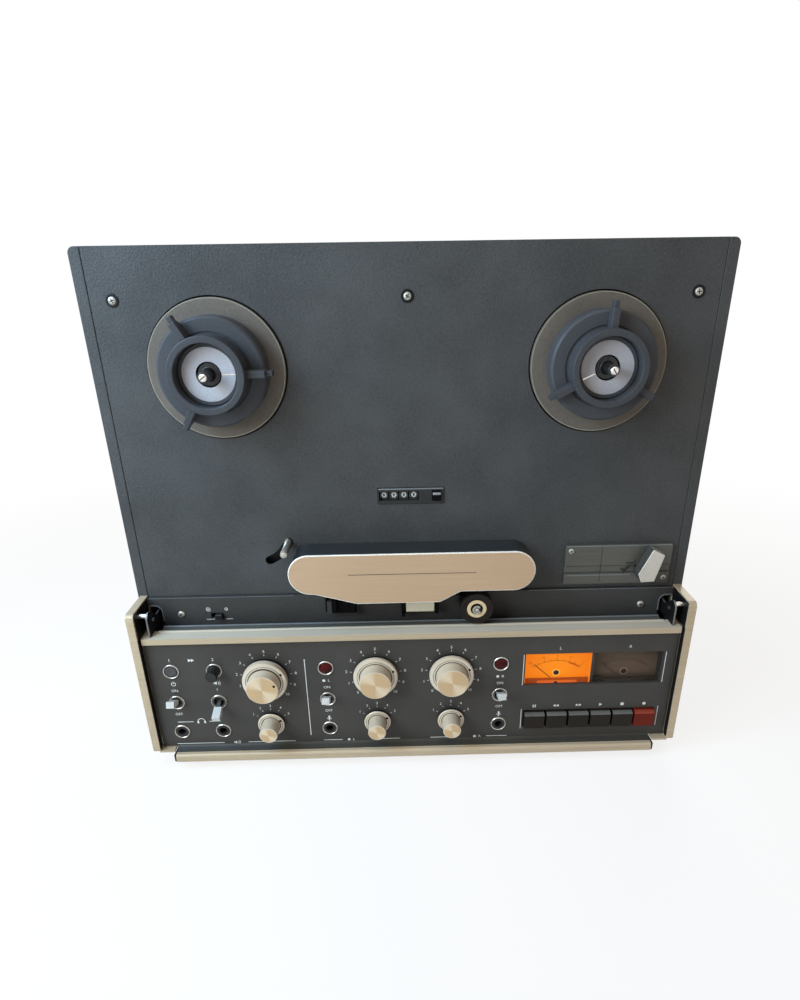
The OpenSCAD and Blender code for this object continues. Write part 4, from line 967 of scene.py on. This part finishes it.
# %% Words and numbers at switches and meters
for x in (-200.5, -73, 73):
    write(ink, "ON", 2.5, x, 76.6, PRINT)
    write(ink, "OFF", 2.5, x, 52.6, PRINT)
for x, word in ((-200.5, "1"), (-165, "2")):
    write(ink, word, 2.8, x, 106.6, PRINT)
for up, word in ((77, "1"), (52.6, "2")):
    write(ink, word, 2.5, -165, up, PRINT)
write(ink, "L", 2.8, 122, 109.6, PRINT)
write(ink, "R", 2.8, 180, 109.6, PRINT)
print(len(ink.faces), "faces with the words at switches and meters")

# %% Lines between the groups
GROUP_UP = 21.2
for x, low, high in ((-90, 27, 105), (92, 74, 104), (210.6, 74, 104), (92.5, 28.5, 49), (211, 28.5, 49)):
    stroke(ink, x, low, x, high, 0.6, PRINT)
for x0, x1 in ((-207, -166), (-145, -104), (-79, -63), (-29, -12.5), (14, 30), (63, 81)):
    stroke(ink, x0, GROUP_UP, x1, GROUP_UP, 0.6, PRINT)
for x0, x1 in ((-203, -189.5), (-176, -171)):
    stroke(ink, x0, 44.4, x1, 44.4, 0.6, PRINT)
print(len(ink.faces), "faces with the lines")

# %% Symbols over the keys and sockets
KEY_X = [151 + (i - 2.5) * 19 for i in range(6)]


def arrow(bm, x, up, tall, way, out=PRINT):
    tip = bmesh.ops.create_circle(bm, cap_ends=True, segments=3, radius=tall * 0.62)["verts"]
    turn = Matrix.Translation((x, up, out)) @ Matrix.Rotation(-way * math.pi / 2, 4, "Z")
    bmesh.ops.transform(bm, matrix=turn, verts=tip)


SIGN_UP = 52.0
stroke(ink, KEY_X[0] - 0.9, SIGN_UP - 1.4, KEY_X[0] - 0.9, SIGN_UP + 1.4, 0.9, PRINT)
stroke(ink, KEY_X[0] + 0.9, SIGN_UP - 1.4, KEY_X[0] + 0.9, SIGN_UP + 1.4, 0.9, PRINT)
for shift in (-1.3, 1.3):
    arrow(ink, KEY_X[1] + shift, SIGN_UP, 2.6, -1)
    arrow(ink, KEY_X[2] + shift, SIGN_UP, 2.6, 1)
arrow(ink, KEY_X[3], SIGN_UP, 2.9, 1)
stroke(ink, KEY_X[4] - 1.4, SIGN_UP, KEY_X[4] + 1.4, SIGN_UP, 2.8, PRINT)
hoop(ink, KEY_X[5], SIGN_UP, 0.0, 1.5, 0, FULL_TURN, PRINT)
hoop(ink, -182.7, 44.6, 2.6, 3.2, 0, math.pi, PRINT)
for shift in (-2.9, 2.9):
    stroke(ink, -182.7 + shift, 42.6, -182.7 + shift, 45.0, 1.5, PRINT)
for x in (-73, 73):
    stroke(ink, x, 44.0, x, 47.2, 1.5, PRINT)
    hoop(ink, x, 45.0, 1.5, 1.9, math.pi, math.pi, PRINT)
    stroke(ink, x, 41.8, x, 43.4, 0.5, PRINT)
print(len(ink.faces), "faces with the key and socket symbols")

# %% Symbols over the switches and below the groups


def loudspeaker(bm, x, up):
    stroke(bm, x - 2.2, up, x - 1.0, up, 1.6, PRINT)
    arrow(bm, x - 0.4, up, 3.0, -1)
    for reach in (2.2, 3.4):
        hoop(bm, x + 0.2, up, reach - 0.45, reach, math.radians(-42), math.radians(84), PRINT, 10)


def record_sign(bm, x, up, letter):
    hoop(bm, x - 2.2, up, 0.0, 1.3, 0, FULL_TURN, PRINT)
    write(bm, letter, 2.6, x + 2.0, up, PRINT)


hoop(ink, -200.5, 83.4, 1.5, 2.0, math.radians(120), math.radians(300), PRINT)
stroke(ink, -200.5, 83.4, -200.5, 85.8, 0.5, PRINT)
loudspeaker(ink, -165, 83.4)
loudspeaker(ink, -155.5, GROUP_UP)
for shift in (-1.5, 0.9):
    arrow(ink, -182.7 + shift, 106.4, 2.8, 1)
for x, letter in ((-73, "L"), (73, "R")):
    record_sign(ink, x, 83.4, letter)
record_sign(ink, -55.0, GROUP_UP, "L")
record_sign(ink, 55.0, GROUP_UP, "R")
settle(ink, "panel_print", "recorder", print_white, closed=False)

# %% [markdown]
# ## Ring nuts, sockets and lamps
# Every switch, socket and lamp is clamped by a bright ring nut. The sockets are quarter-inch jacks
# with a dark bush and a black mouth, and the two record lamps are small domes of ruby glass.
# All rings are one spun profile set down at each place.

# %% Ring nuts
nickel = grained("nickel_ring", tint(172, 169, 162), tint(196, 193, 187), 0.28, 1200.0, 0.00001, 1.0)
TOGGLES = [(-200.5, 65), (-165, 65), (-73, 65), (73, 65)]
SPEEDS = [(-200.5, 96), (-165, 96)]
JACKS = [(-200.5, 34.5), (-165, 34.5), (-73, 34.5), (73, 34.5)]
LAMPS = [(-73, 96), (73, 96)]
rings = bmesh.new()
for x, up in TOGGLES + SPEEDS + LAMPS + JACKS:
    lathe(rings, [(5.6, 27.6), (6.7, 27.6), (6.7, 28.6), (6.35, 29.0), (5.95, 29.0), (5.6, 28.7)],
          x, up, 48, ring=True)
settle(rings, "ring_nuts", "recorder", nickel)

# %% Sockets
socket_dark = grained("socket_bush", tint(44, 42, 40), tint(58, 56, 53), 0.4, 900.0, 0.00002, 0.4)
# The black ring round each bore is painted shade that widens the dark mouth of the jack.
bores = bmesh.new()
for x, up in JACKS:
    lathe(bores, [(3.3, 28.6), (4.7, 28.6), (4.7, 28.95), (3.3, 28.86)], x, up, 40, ring=True)
settle(bores, "socket_mouths", "recorder", slot_black)
inlet_black = grained("inlet_plastic", tint(20, 20, 21), tint(30, 30, 31), 0.45, 900.0, 0.00003, gloss=0.3)
REAR_FROM = 0.0946
bushes = soft_copy("sockets", 0.25)
for face in bushes.faces:
    middle = face.calc_center_median()
    if middle.y > REAR_FROM:
        face.material_index = 1 if middle.x > 0 else 2
settle(bushes, "socket_bushes", "recorder", [socket_dark, nickel, inlet_black], ["sockets"],
       board=None)

# %% Record lamps
ruby, ruby_nodes, ruby_link, ruby_shader = start_finish("ruby_lens", 0.25)
ruby_cloud = cloud(ruby_nodes, ruby_link, spots(ruby_nodes, ruby_link), 260.0)
ruby_link(between(ruby_nodes, ruby_link, ruby_cloud, tint(48, 4, 6), tint(76, 11, 12)),
          ruby_shader.inputs["Base Color"])
ruby_link(spread(ruby_nodes, ruby_link, ruby_cloud, 0.12, 0.26), ruby_shader.inputs["Roughness"])
ruby_shader.inputs["Specular IOR Level"].default_value = 0.12
lenses = bmesh.new()
for x, up in LAMPS:
    lathe(lenses, [(0, 20), (5.1, 20), (5.1, 28.3), (4.5, 28.9), (3.0, 29.4), (1.4, 29.65), (0, 29.7)],
          x, up, 40)
settle(lenses, "lamp_lenses", "recorder", ruby, ["record_lamps"])

# %% [markdown]
# ## Knobs
# The knobs are turned aluminium with spun faces and finely knurled sides. Concentric tool marks give a
# spun face a fan-shaped shine; here the shine is a painted highlight in its colour, which swings twice
# round the clock from warm to bright and is brightest at a set angle.
# The sides are satin; thin grey rings in the grooves round the skirts are painted shade, and the foot
# of each skirt is painted black as the shade under it.
# The knurl is made by drawing every second column of a side a little inwards.

# %% A spun face
BRIGHTEST = 130


def spun(name, warm, bright, rough, x, up):
    coat, nodes, link, shader = start_finish(name, rough, 0.35)
    vector = spots(nodes, link, centre=(x / 1000, 0, up / 1000))
    upright = nodes.new("ShaderNodeMapping")
    upright.inputs["Rotation"].default_value = (math.pi / 2, 0, 0)
    link(vector, upright.inputs["Vector"])
    # The colour swing round the axis is a painted highlight, the fan-shaped shine of a spun face.
    clock = nodes.new("ShaderNodeTexGradient")
    clock.gradient_type = "RADIAL"
    link(upright.outputs["Vector"], clock.inputs["Vector"])
    twice = nodes.new("ShaderNodeMath")
    twice.operation = "MULTIPLY_ADD"
    twice.inputs[1].default_value = 2 * FULL_TURN
    twice.inputs[2].default_value = math.radians(90 + 2 * BRIGHTEST)
    link(clock.outputs["Fac"], twice.inputs[0])
    fan_sheen = nodes.new("ShaderNodeMath")
    fan_sheen.operation = "SINE"
    link(twice.outputs[0], fan_sheen.inputs[0])
    link(between(nodes, link, fan_sheen.outputs[0], warm, bright, 0.0, 1.0), shader.inputs["Base Color"])
    rings = nodes.new("ShaderNodeTexWave")
    rings.wave_type = "RINGS"
    rings.rings_direction = "Y"
    rings.inputs["Scale"].default_value = 180.0
    link(vector, rings.inputs["Vector"])
    link(spread(nodes, link, rings.outputs[1], rough - 0.06, rough + 0.06), shader.inputs["Roughness"])
    return coat


print("faces can be spun")

# %% Knurl
KNURLS = 144


def knurl(bm, x, up, radius, low, high, depth):
    for point in bm.verts:
        reach = math.hypot(point.co.x - x, point.co.y - up)
        if abs(reach - radius) < 0.02 and low < point.co.z < high:
            column = round(math.atan2(point.co.y - up, point.co.x - x) / FULL_TURN * KNURLS)
            if column % 2:
                pull = (radius - depth) / radius
                point.co.x = x + (point.co.x - x) * pull
                point.co.y = up + (point.co.y - up) * pull


print(KNURLS, "columns to a knurled side")

# %% How a knob is turned
SPUN_WARM, SPUN_BRIGHT = tint(194, 164, 125), tint(216, 198, 168)
satin = grained("satin_knob_side", tint(188, 170, 147), tint(210, 192, 169), 0.42, 1200.0, 0.00002, 0.15,
                gloss=0.35)
skirt_satin = grained("satin_knob_skirt", tint(196, 184, 166), tint(216, 205, 188), 0.42, 1200.0, 0.00002,
                      0.15, gloss=0.4)
# This grey is painted shade in the grooves round the knob skirts.
groove_shade_grey = grained("knob_ring_grey", tint(84, 77, 67), tint(102, 94, 82), 0.5, 600.0, 0.00002, gloss=0.2)


def turned_knob(name, body, node, x, up, profile, sides, shade_to, grooves=()):
    knob = bmesh.new()
    lathe(knob, profile, x, up, KNURLS)
    for radius, low, high in sides:
        knurl(knob, x, up, radius, low, high, 0.2)
    knob.normal_update()
    front = max(point.co.z for point in knob.verts) - 0.05
    for face in knob.faces:
        middle = face.calc_center_median()
        reach = math.hypot(middle.x - x, middle.y - up)
        flat = abs(face.normal.z) > 0.9
        # Faces below shade_to get black painted shade, and flat faces in the grooves get grey painted shade.
        if middle.z < shade_to:
            face.material_index = 2
        elif flat and any(low < reach < high for low, high in grooves):
            face.material_index = 3
        elif middle.z < front or name == "balance":
            face.material_index = 4 if flat else 1
    coat = spun(name + "_spun", SPUN_WARM, SPUN_BRIGHT, 0.34, x, up)
    finishes = [coat, satin, black_and_shade, groove_shade_grey, skirt_satin]
    settle(knob, name, body, finishes, [node], crease=32)


print("knobs can be turned")

# %% Level knobs and selectors


def skirted(skirt, skirt_out, face, face_out):
    return [(0, 29), (skirt - 0.6, 29), (skirt - 0.4, 29.4), (skirt - 0.4, 31.4), (skirt, 31.6),
            (skirt, skirt_out - 0.8), (skirt - 0.4, skirt_out - 0.3), (skirt - 1.0, skirt_out),
            (face + 2.5, skirt_out), (face + 2.4, skirt_out - 0.2), (face + 2.0, skirt_out - 0.2),
            (face + 1.9, skirt_out), (face + 1.0, skirt_out), (face + 0.8, skirt_out - 0.3),
            (face, skirt_out - 0.3), (face, skirt_out + 0.9), (face, face_out - 0.7),
            (face - 0.25, face_out - 0.2), (face - 0.7, face_out), (0, face_out)]


for name, node, x in (("level_left", "level_knob_left", LEFT_X),
                      ("level_right", "level_knob_right", RIGHT_X)):
    turned_knob(name, node + "_body", node, x, KNOB_UP, skirted(18.5, 34.5, 13, 45),
                [(18.5, 31.5, 34.0), (13, 35.1, 44.0)], 31.5, [(12.9, 13.8), (15.0, 15.4)])
for name, node, x in (("mode", "mode_knob", MONITOR_X), ("input_left", "input_knob_left", LEFT_X),
                      ("input_right", "input_knob_right", RIGHT_X)):
    turned_knob(name, node + "_body", node, x, SELECTOR_UP, skirted(11.3, 32.5, 7.5, 46),
                [(7.5, 33.1, 45.0)], 31.5, [(7.4, 8.3), (9.5, 9.9)])

# %% Volume pair
turned_knob("balance", "balance_ring_body", "balance_ring", MONITOR_X, KNOB_UP,
            [(4.2, 29), (17.9, 29), (18.1, 29.4), (18.1, 32.2), (18.5, 32.4), (18.5, 36.7), (18.1, 37.2),
             (17.5, 37.5), (15.5, 37.5), (15.3, 37.2), (14.9, 37.2), (14.7, 37.5), (14.0, 37.5), (13.7, 37.3),
             (4.2, 37.3), (4.2, 29)], [(18.5, 32.3, 37.0)], 32.3, [(4.0, 13.8), (14.8, 15.4)])
turned_knob("volume", "volume_knob_body", "volume_knob", MONITOR_X, KNOB_UP,
            [(0, 37.9), (12.6, 37.9), (13, 38.3), (13, 47.3), (12.75, 47.8), (12.3, 48), (0, 48)],
            [(13, 38.1, 47.2)], 38.2)

# %% Pointer dots
dots = (("balance", "balance_ring_body", MONITOR_X, KNOB_UP, 15.8, 62, 37.5),
        ("volume", "volume_knob_body", MONITOR_X, KNOB_UP, 10.6, 69, 48),
        ("level_left", "level_knob_left_body", LEFT_X, KNOB_UP, 15.8, 68, 34.5),
        ("level_right", "level_knob_right_body", RIGHT_X, KNOB_UP, 15.8, 68, 34.5),
        ("mode", "mode_knob_body", MONITOR_X, SELECTOR_UP, 9.4, 62, 32.5),
        ("input_left", "input_knob_left_body", LEFT_X, SELECTOR_UP, 9.4, 62, 32.5),
        ("input_right", "input_knob_right_body", RIGHT_X, SELECTOR_UP, 9.4, 62, 32.5))
for name, body, x, up, reach, clock, out in dots:
    dot = bmesh.new()
    angle = math.radians(90 - clock)
    lathe(dot, [(0, out - 0.2), (1.1, out - 0.2), (1.1, out + 0.03), (0, out + 0.03)],
          x + reach * math.cos(angle), up + reach * math.sin(angle), 16)
    settle(dot, name + "_dot", body, black_and_shade)

# %% [markdown]
# ## Toggles, speed buttons and keys
# The toggles wear ivory caps that widen towards the tip. The speed buttons are plunger caps, the left
# one grey and the right one black. The transport keys are six blocks with a sloped top edge painted
# paler as a highlight of the light from above, five of them black and the last one dark red.
# The caps and keys are softened copies with a generous bevel, the plungers are spun.

# %% Toggles
ivory = grained("ivory_cap", tint(180, 178, 173), tint(198, 196, 191), 0.36, 700.0, 0.00002, gloss=0.3)
stem_grey = grained("stem_grey", tint(58, 57, 55), tint(74, 73, 71), 0.4, 900.0, 0.00002, 0.4, gloss=0.3)
TOGGLE_NODES = ("power_toggle", "monitor_toggle", "record_toggle_left", "record_toggle_right")
STEM_REACH = 0.0088
for node, (x, up) in zip(TOGGLE_NODES, TOGGLES):
    cap = soft_copy(node, 0.7, 3)
    pivot = BOARD @ Vector((x, up, 24.5))
    for face in cap.faces:
        if (face.calc_center_median() - pivot).length < STEM_REACH:
            face.material_index = 1
    settle(cap, node + "_cap", node + "_body", [ivory, stem_grey], [node], board=None)

# %% Speed buttons
button_grey = grained("button_grey", tint(64, 63, 63), tint(76, 75, 75), 0.4, 900.0, 0.00003, gloss=0.2)
for node, x, front, plunger_coat in (("speed_button_left", -200.5, 29, button_grey),
                                     ("speed_button_right", -165, 39, button_black)):
    plunger = bmesh.new()
    lathe(plunger, [(0, front - 20), (4.8, front - 20), (4.8, front - 0.8), (4.4, front - 0.2), (3.6, front),
                    (2.4, front - 0.25), (0, front - 0.45)], x, 96, 48)
    settle(plunger, node + "_plunger", node + "_body", plunger_coat, [node])

# %% Keys
key_black = grained("key_plastic", tint(31, 26, 21), tint(39, 33, 27), 0.42, 900.0, 0.00004, gloss=0.1)
key_red = grained("key_red_plastic", tint(94, 24, 9), tint(108, 31, 14), 0.42, 900.0, 0.00004, gloss=0.1)
key_top_sheen_grey = grained("key_top_sheen_grey_coat", tint(84, 82, 78), tint(100, 98, 94), 0.4, 900.0, 0.00004, gloss=0.4)
key_top_sheen_red = grained("key_top_sheen_red_coat", tint(132, 50, 34), tint(150, 60, 42), 0.4, 900.0, 0.00004, gloss=0.4)
for number in range(1, 7):
    node = f"key_{number}"
    key = soft_copy(node, 0.8, 3)
    key.normal_update()
    # Faces sloping up towards the front take the paler coat, a painted highlight of the light from above.
    for face in key.faces:
        if face.normal.z > 0.6 and face.normal.y < -0.2:
            face.material_index = 1
    red = number == 6
    settle(key, node + "_cap", node + "_body", [key_red, key_top_sheen_red] if red else [key_black, key_top_sheen_grey],
           [node], board=None)

# %% [markdown]
# ## Level meters
# Two meters sit behind one window. The left one is lit from behind by a bulb, so its dial glows
# orange, brightest in the middle; the right one is dark. The glow is an emission whose colour follows
# the distance from the bulb. On the dark meter the same gradient goes into the paint, a painted pool of
# light. Scales are spun arcs with ticks. Each meter has a peak lamp, a sill along its lower edge, tinted
# darker than the dial as painted shade at its foot, and a mask over the pivot of its needle.

# %% Meter cases
case_black = grained("meter_case", tint(26, 23, 20), tint(36, 32, 28), 0.5, 900.0, 0.00003)
coat_solid("meter_cases", case_black)

# %% Dial paper


def dial_paper(name, centre, inner, outer, glow):
    coat, nodes, link, shader = start_finish(name, 0.6)
    shader.inputs["Specular IOR Level"].default_value = 0.15
    near = nodes.new("ShaderNodeTexGradient")
    near.gradient_type = "SPHERICAL"
    link(spots(nodes, link, (28, 1, 40), (centre[0] / 1000, 0, centre[1] / 1000)), near.inputs["Vector"])
    fibre = cloud(nodes, link, spots(nodes, link), 420.0)
    blend = nodes.new("ShaderNodeMath")
    blend.operation = "MULTIPLY_ADD"
    blend.inputs[1].default_value = 0.16
    link(fibre, blend.inputs[0])
    link(near.outputs[1], blend.inputs[2])
    colour = between(nodes, link, blend.outputs[0], outer, inner, 0.05, 0.85)
    relief(nodes, link, fibre, 0.00001, shader)
    if glow:
        shader.inputs["Base Color"].default_value = (0.12, 0.035, 0.006, 1)
        link(colour, shader.inputs["Emission Color"])
        shader.inputs["Emission Strength"].default_value = glow
    else:
        # Without glow the gradient goes into the base colour: paler in the middle, a painted pool of light.
        link(colour, shader.inputs["Base Color"])
    return coat


print("dial paper can be mixed")

# %% Dials
METERS = ((122, "left"), (180, "right"))
lit_dial = dial_paper("lit_dial", (122, 86), tint(252, 140, 4), tint(238, 112, 2), 0.96)
# The dark dial gets the same centre-pale gradient with no glow, a painted pool of light.
dark_dial = dial_paper("dark_dial", (180, 86), tint(98, 80, 65), tint(76, 62, 50), 0.0)
for (x, side), paper in zip(METERS, (lit_dial, dark_dial)):
    dial = bmesh.new()
    block(dial, x - 27.6, x + 27.6, 68.7, 104.3, 19.6, 20.08)
    settle(dial, side + "_dial", "recorder", paper)

# %% Meter scales
SCALE_UP, SCALE_OUT = 58, 20.14
scale_inks = (grained("lit_scale_ink", tint(168, 70, 6), tint(184, 80, 10), 0.6, 700.0, 0.000005, gloss=0.1),
              grained("dark_scale_ink", tint(52, 41, 33), tint(62, 49, 40), 0.6, 700.0, 0.000005, gloss=0.1))
red_inks = (grained("lit_scale_red", tint(190, 52, 8), tint(204, 60, 12), 0.6, 700.0, 0.000005, gloss=0.1),
            grained("dark_scale_red", tint(92, 46, 36), tint(104, 54, 42), 0.6, 700.0, 0.000005, gloss=0.1))
for (x, side), scale_ink, red_ink in zip(METERS, scale_inks, red_inks):
    arcs = bmesh.new()
    hoop(arcs, x, SCALE_UP, 34.3, 34.7, math.radians(55), math.radians(70), SCALE_OUT, 40)
    for step in range(9):
        angle = math.radians(125 - step * 8.75)
        long = 37.2 if step % 2 == 0 else 36.2
        stroke(arcs, x + 34.6 * math.cos(angle), SCALE_UP + 34.6 * math.sin(angle),
               x + long * math.cos(angle), SCALE_UP + long * math.sin(angle), 0.4, SCALE_OUT)
    for step, word in enumerate(("20", "10", "5", "0", "3")):
        angle = math.radians(125 - step * 17.5)
        write(arcs, word, 1.9, x + 39.2 * math.cos(angle), SCALE_UP + 39.2 * math.sin(angle), SCALE_OUT)
    settle(arcs, side + "_scale", "recorder", scale_ink, closed=False)
    over = bmesh.new()
    hoop(over, x, SCALE_UP, 33.2, 34.0, math.radians(55), math.radians(17.5), SCALE_OUT, 12)
    settle(over, side + "_scale_red", "recorder", red_ink, closed=False)

# %% Peak lamps and needles
lamp_dark = grained("peak_lamp", tint(38, 14, 8), tint(54, 20, 12), 0.3, 500.0, 0.00001, gloss=0.25)
halo_coats = (dial_paper("lit_halo", (122, 81), tint(255, 190, 90), tint(250, 160, 60), 0.9),
              dial_paper("dark_halo", (180, 81), tint(128, 110, 92), tint(112, 94, 78), 0.0))
for (x, side), halo_coat in zip(METERS, halo_coats):
    lamp_bead = bmesh.new()
    lathe(lamp_bead, [(0, 20.0), (2.4, 20.0), (2.4, 20.4), (1.8, 20.65), (0, 20.75)], x, 80.5, 32)
    settle(lamp_bead, side + "_peak_lamp", "recorder", lamp_dark)
    halo = bmesh.new()
    lathe(halo, [(2.4, 20.0), (3.5, 20.0), (3.5, 20.3), (2.4, 20.3)], x, 80.5, 32, ring=True)
    settle(halo, side + "_peak_halo", "recorder", halo_coat)
needle_brown = grained("needle_brown", tint(74, 40, 16), tint(88, 50, 22), 0.6, 700.0, 0.000005, gloss=0.1)
for x, side in METERS:
    needle = bmesh.new()
    lathe(needle, [(1.1, 20.4), (2.2, 20.4), (2.2, 22.1), (1.1, 22.1)], x, 71.5, 32, ring=True)
    turned_block(needle, x, 71.5, 137, 1.6, 27.0, 0.45, 20.9, 21.5)
    settle(needle, side + "_needle", f"needle_{side}_body", needle_brown, [f"needle_{side}"])

# %% Sills, masks and adjusters
mask_coats = (dial_paper("lit_mask", (122, 71), tint(226, 98, 34), tint(196, 74, 24), 0.9),
              dial_paper("dark_mask", (180, 71), tint(66, 55, 46), tint(54, 45, 38), 0.0))
sill_shade_coats = (dial_paper("lit_sill", (122, 72), tint(170, 66, 14), tint(128, 46, 10), 0.8),
              dial_paper("dark_sill", (180, 72), tint(58, 47, 39), tint(44, 36, 30), 0.0))
for (x, side), mask_coat, sill_coat in zip(METERS, mask_coats, sill_shade_coats):
    # The sill is tinted darker than the dial, as painted shade along the dial's foot.
    bar((x - 27.4, x + 27.4, 68.7, 77.0, 22.3, 22.7), 0.1, side + "_sill", "recorder", sill_coat,
        1)
    bar((x - 17.1, x + 17.1, 67.4, 75.6, 24.3, 24.6), 0.1, side + "_mask", "recorder", mask_coat,
        1)
    adjuster = bmesh.new()
    lathe(adjuster, [(0, 24.5), (1.5, 24.5), (1.5, 24.9), (1.1, 25.1), (0, 25.1)], x - 1.0, 73.4, 24)
    settle(adjuster, side + "_adjuster", "recorder", slot_black)

# %% Glow on the side walls of the lit meter
glow_wall = dial_paper("glow_wall", (122, 86), tint(255, 150, 30), tint(236, 116, 12), 0.9)
walls = bmesh.new()
for x0, x1 in ((94.3, 94.7), (149.3, 149.7)):
    block(walls, x0, x1, 69.0, 104.0, 20.0, 25.3)
settle(walls, "glow_walls", "recorder", glow_wall)

# %% Window
window, window_nodes, window_link, window_shader = start_finish("clear_window", 0.08)
smudge = cloud(window_nodes, window_link, spots(window_nodes, window_link), 60.0, 5.0)
window_link(between(window_nodes, window_link, smudge, tint(70, 68, 65), tint(90, 87, 83)),
            window_shader.inputs["Base Color"])
window_link(spread(window_nodes, window_link, smudge, 0.04, 0.14), window_shader.inputs["Roughness"])
window_shader.inputs["Alpha"].default_value = 0.03
coat_solid("meter_window", window)

# %% [markdown]
# ## The back
# The photo doesn't show the back, so it is kept to what every recorder of this kind needs: two pairs
# of line sockets with coloured bushes, a mains inlet with three pins and a bare rating plate.
# Each piece is drawn as for the front and then turned half round with one matrix.

# %% Line sockets and mains pins
BEHIND = BOARD @ TO_REAR
bush_white = grained("bush_white", tint(196, 194, 188), tint(214, 212, 206), 0.45, 900.0, 0.00002, gloss=0.3)
bush_red = grained("bush_red", tint(140, 26, 22), tint(160, 36, 30), 0.45, 900.0, 0.00002, gloss=0.3)
for up, coat, side in ((90, bush_white, "left"), (70, bush_red, "right")):
    rings = bmesh.new()
    for x in (-170, -150):
        lathe(rings, [(1.65, 158.4), (3.5, 158.4), (3.5, 159.05), (1.65, 159.05)], x, up, 40, ring=True)
        lathe(rings, [(4.25, 151.0), (5.3, 151.0), (5.3, 151.5), (4.25, 151.5)], x, up, 40, ring=True)
    settle(rings, "line_bushes_" + side, "recorder", coat, board=BEHIND)
bar((138.6, 161.4, 62.6, 77.4, 139.5, 141.0), 0.3, "inlet_floor", "recorder", inlet_black,
    1, BEHIND)
mains_pins = bmesh.new()
for x, up in ((143.0, 68.6), (150.0, 71.8), (157.0, 68.6)):
    block(mains_pins, x - 1.0, x + 1.0, up - 2.0, up + 2.0, 140.8, 149.5)
round_rims(mains_pins, 0.4)
settle(mains_pins, "mains_pins", "recorder", bright_steel, board=BEHIND)

# %% Rating plate and rear print
REAR_PRINT = 150.05
plate = bmesh.new()
block(plate, -32, 32, 56, 84, 149.9, 150.4)
round_corners(plate, [(-32, 56), (-32, 84), (32, 56), (32, 84)], 2.5, 4)
round_rims(plate, 0.15, 1)
settle(plate, "rating_plate", "recorder", aluminium, board=BEHIND)
rivets = bmesh.new()
for x in (-28.5, 28.5):
    lathe(rivets, [(0, 150.2), (1.5, 150.2), (1.4, 150.8), (0.8, 151.1), (0, 151.2)], x, 70, 24)
settle(rivets, "plate_rivets", "recorder", screw_steel, board=BEHIND)
rear_ink = bmesh.new()
for up, word in ((90, "L"), (70, "R")):
    write(rear_ink, word, 4.0, -139.5, up, REAR_PRINT)
for x, way in ((-170, -1), (-150, 1)):
    arrow(rear_ink, x, 104, 2.4, way, REAR_PRINT)
write(rear_ink, "~", 7.0, 150, 88, REAR_PRINT)
settle(rear_ink, "rear_print", "recorder", print_white, board=BEHIND, closed=False)
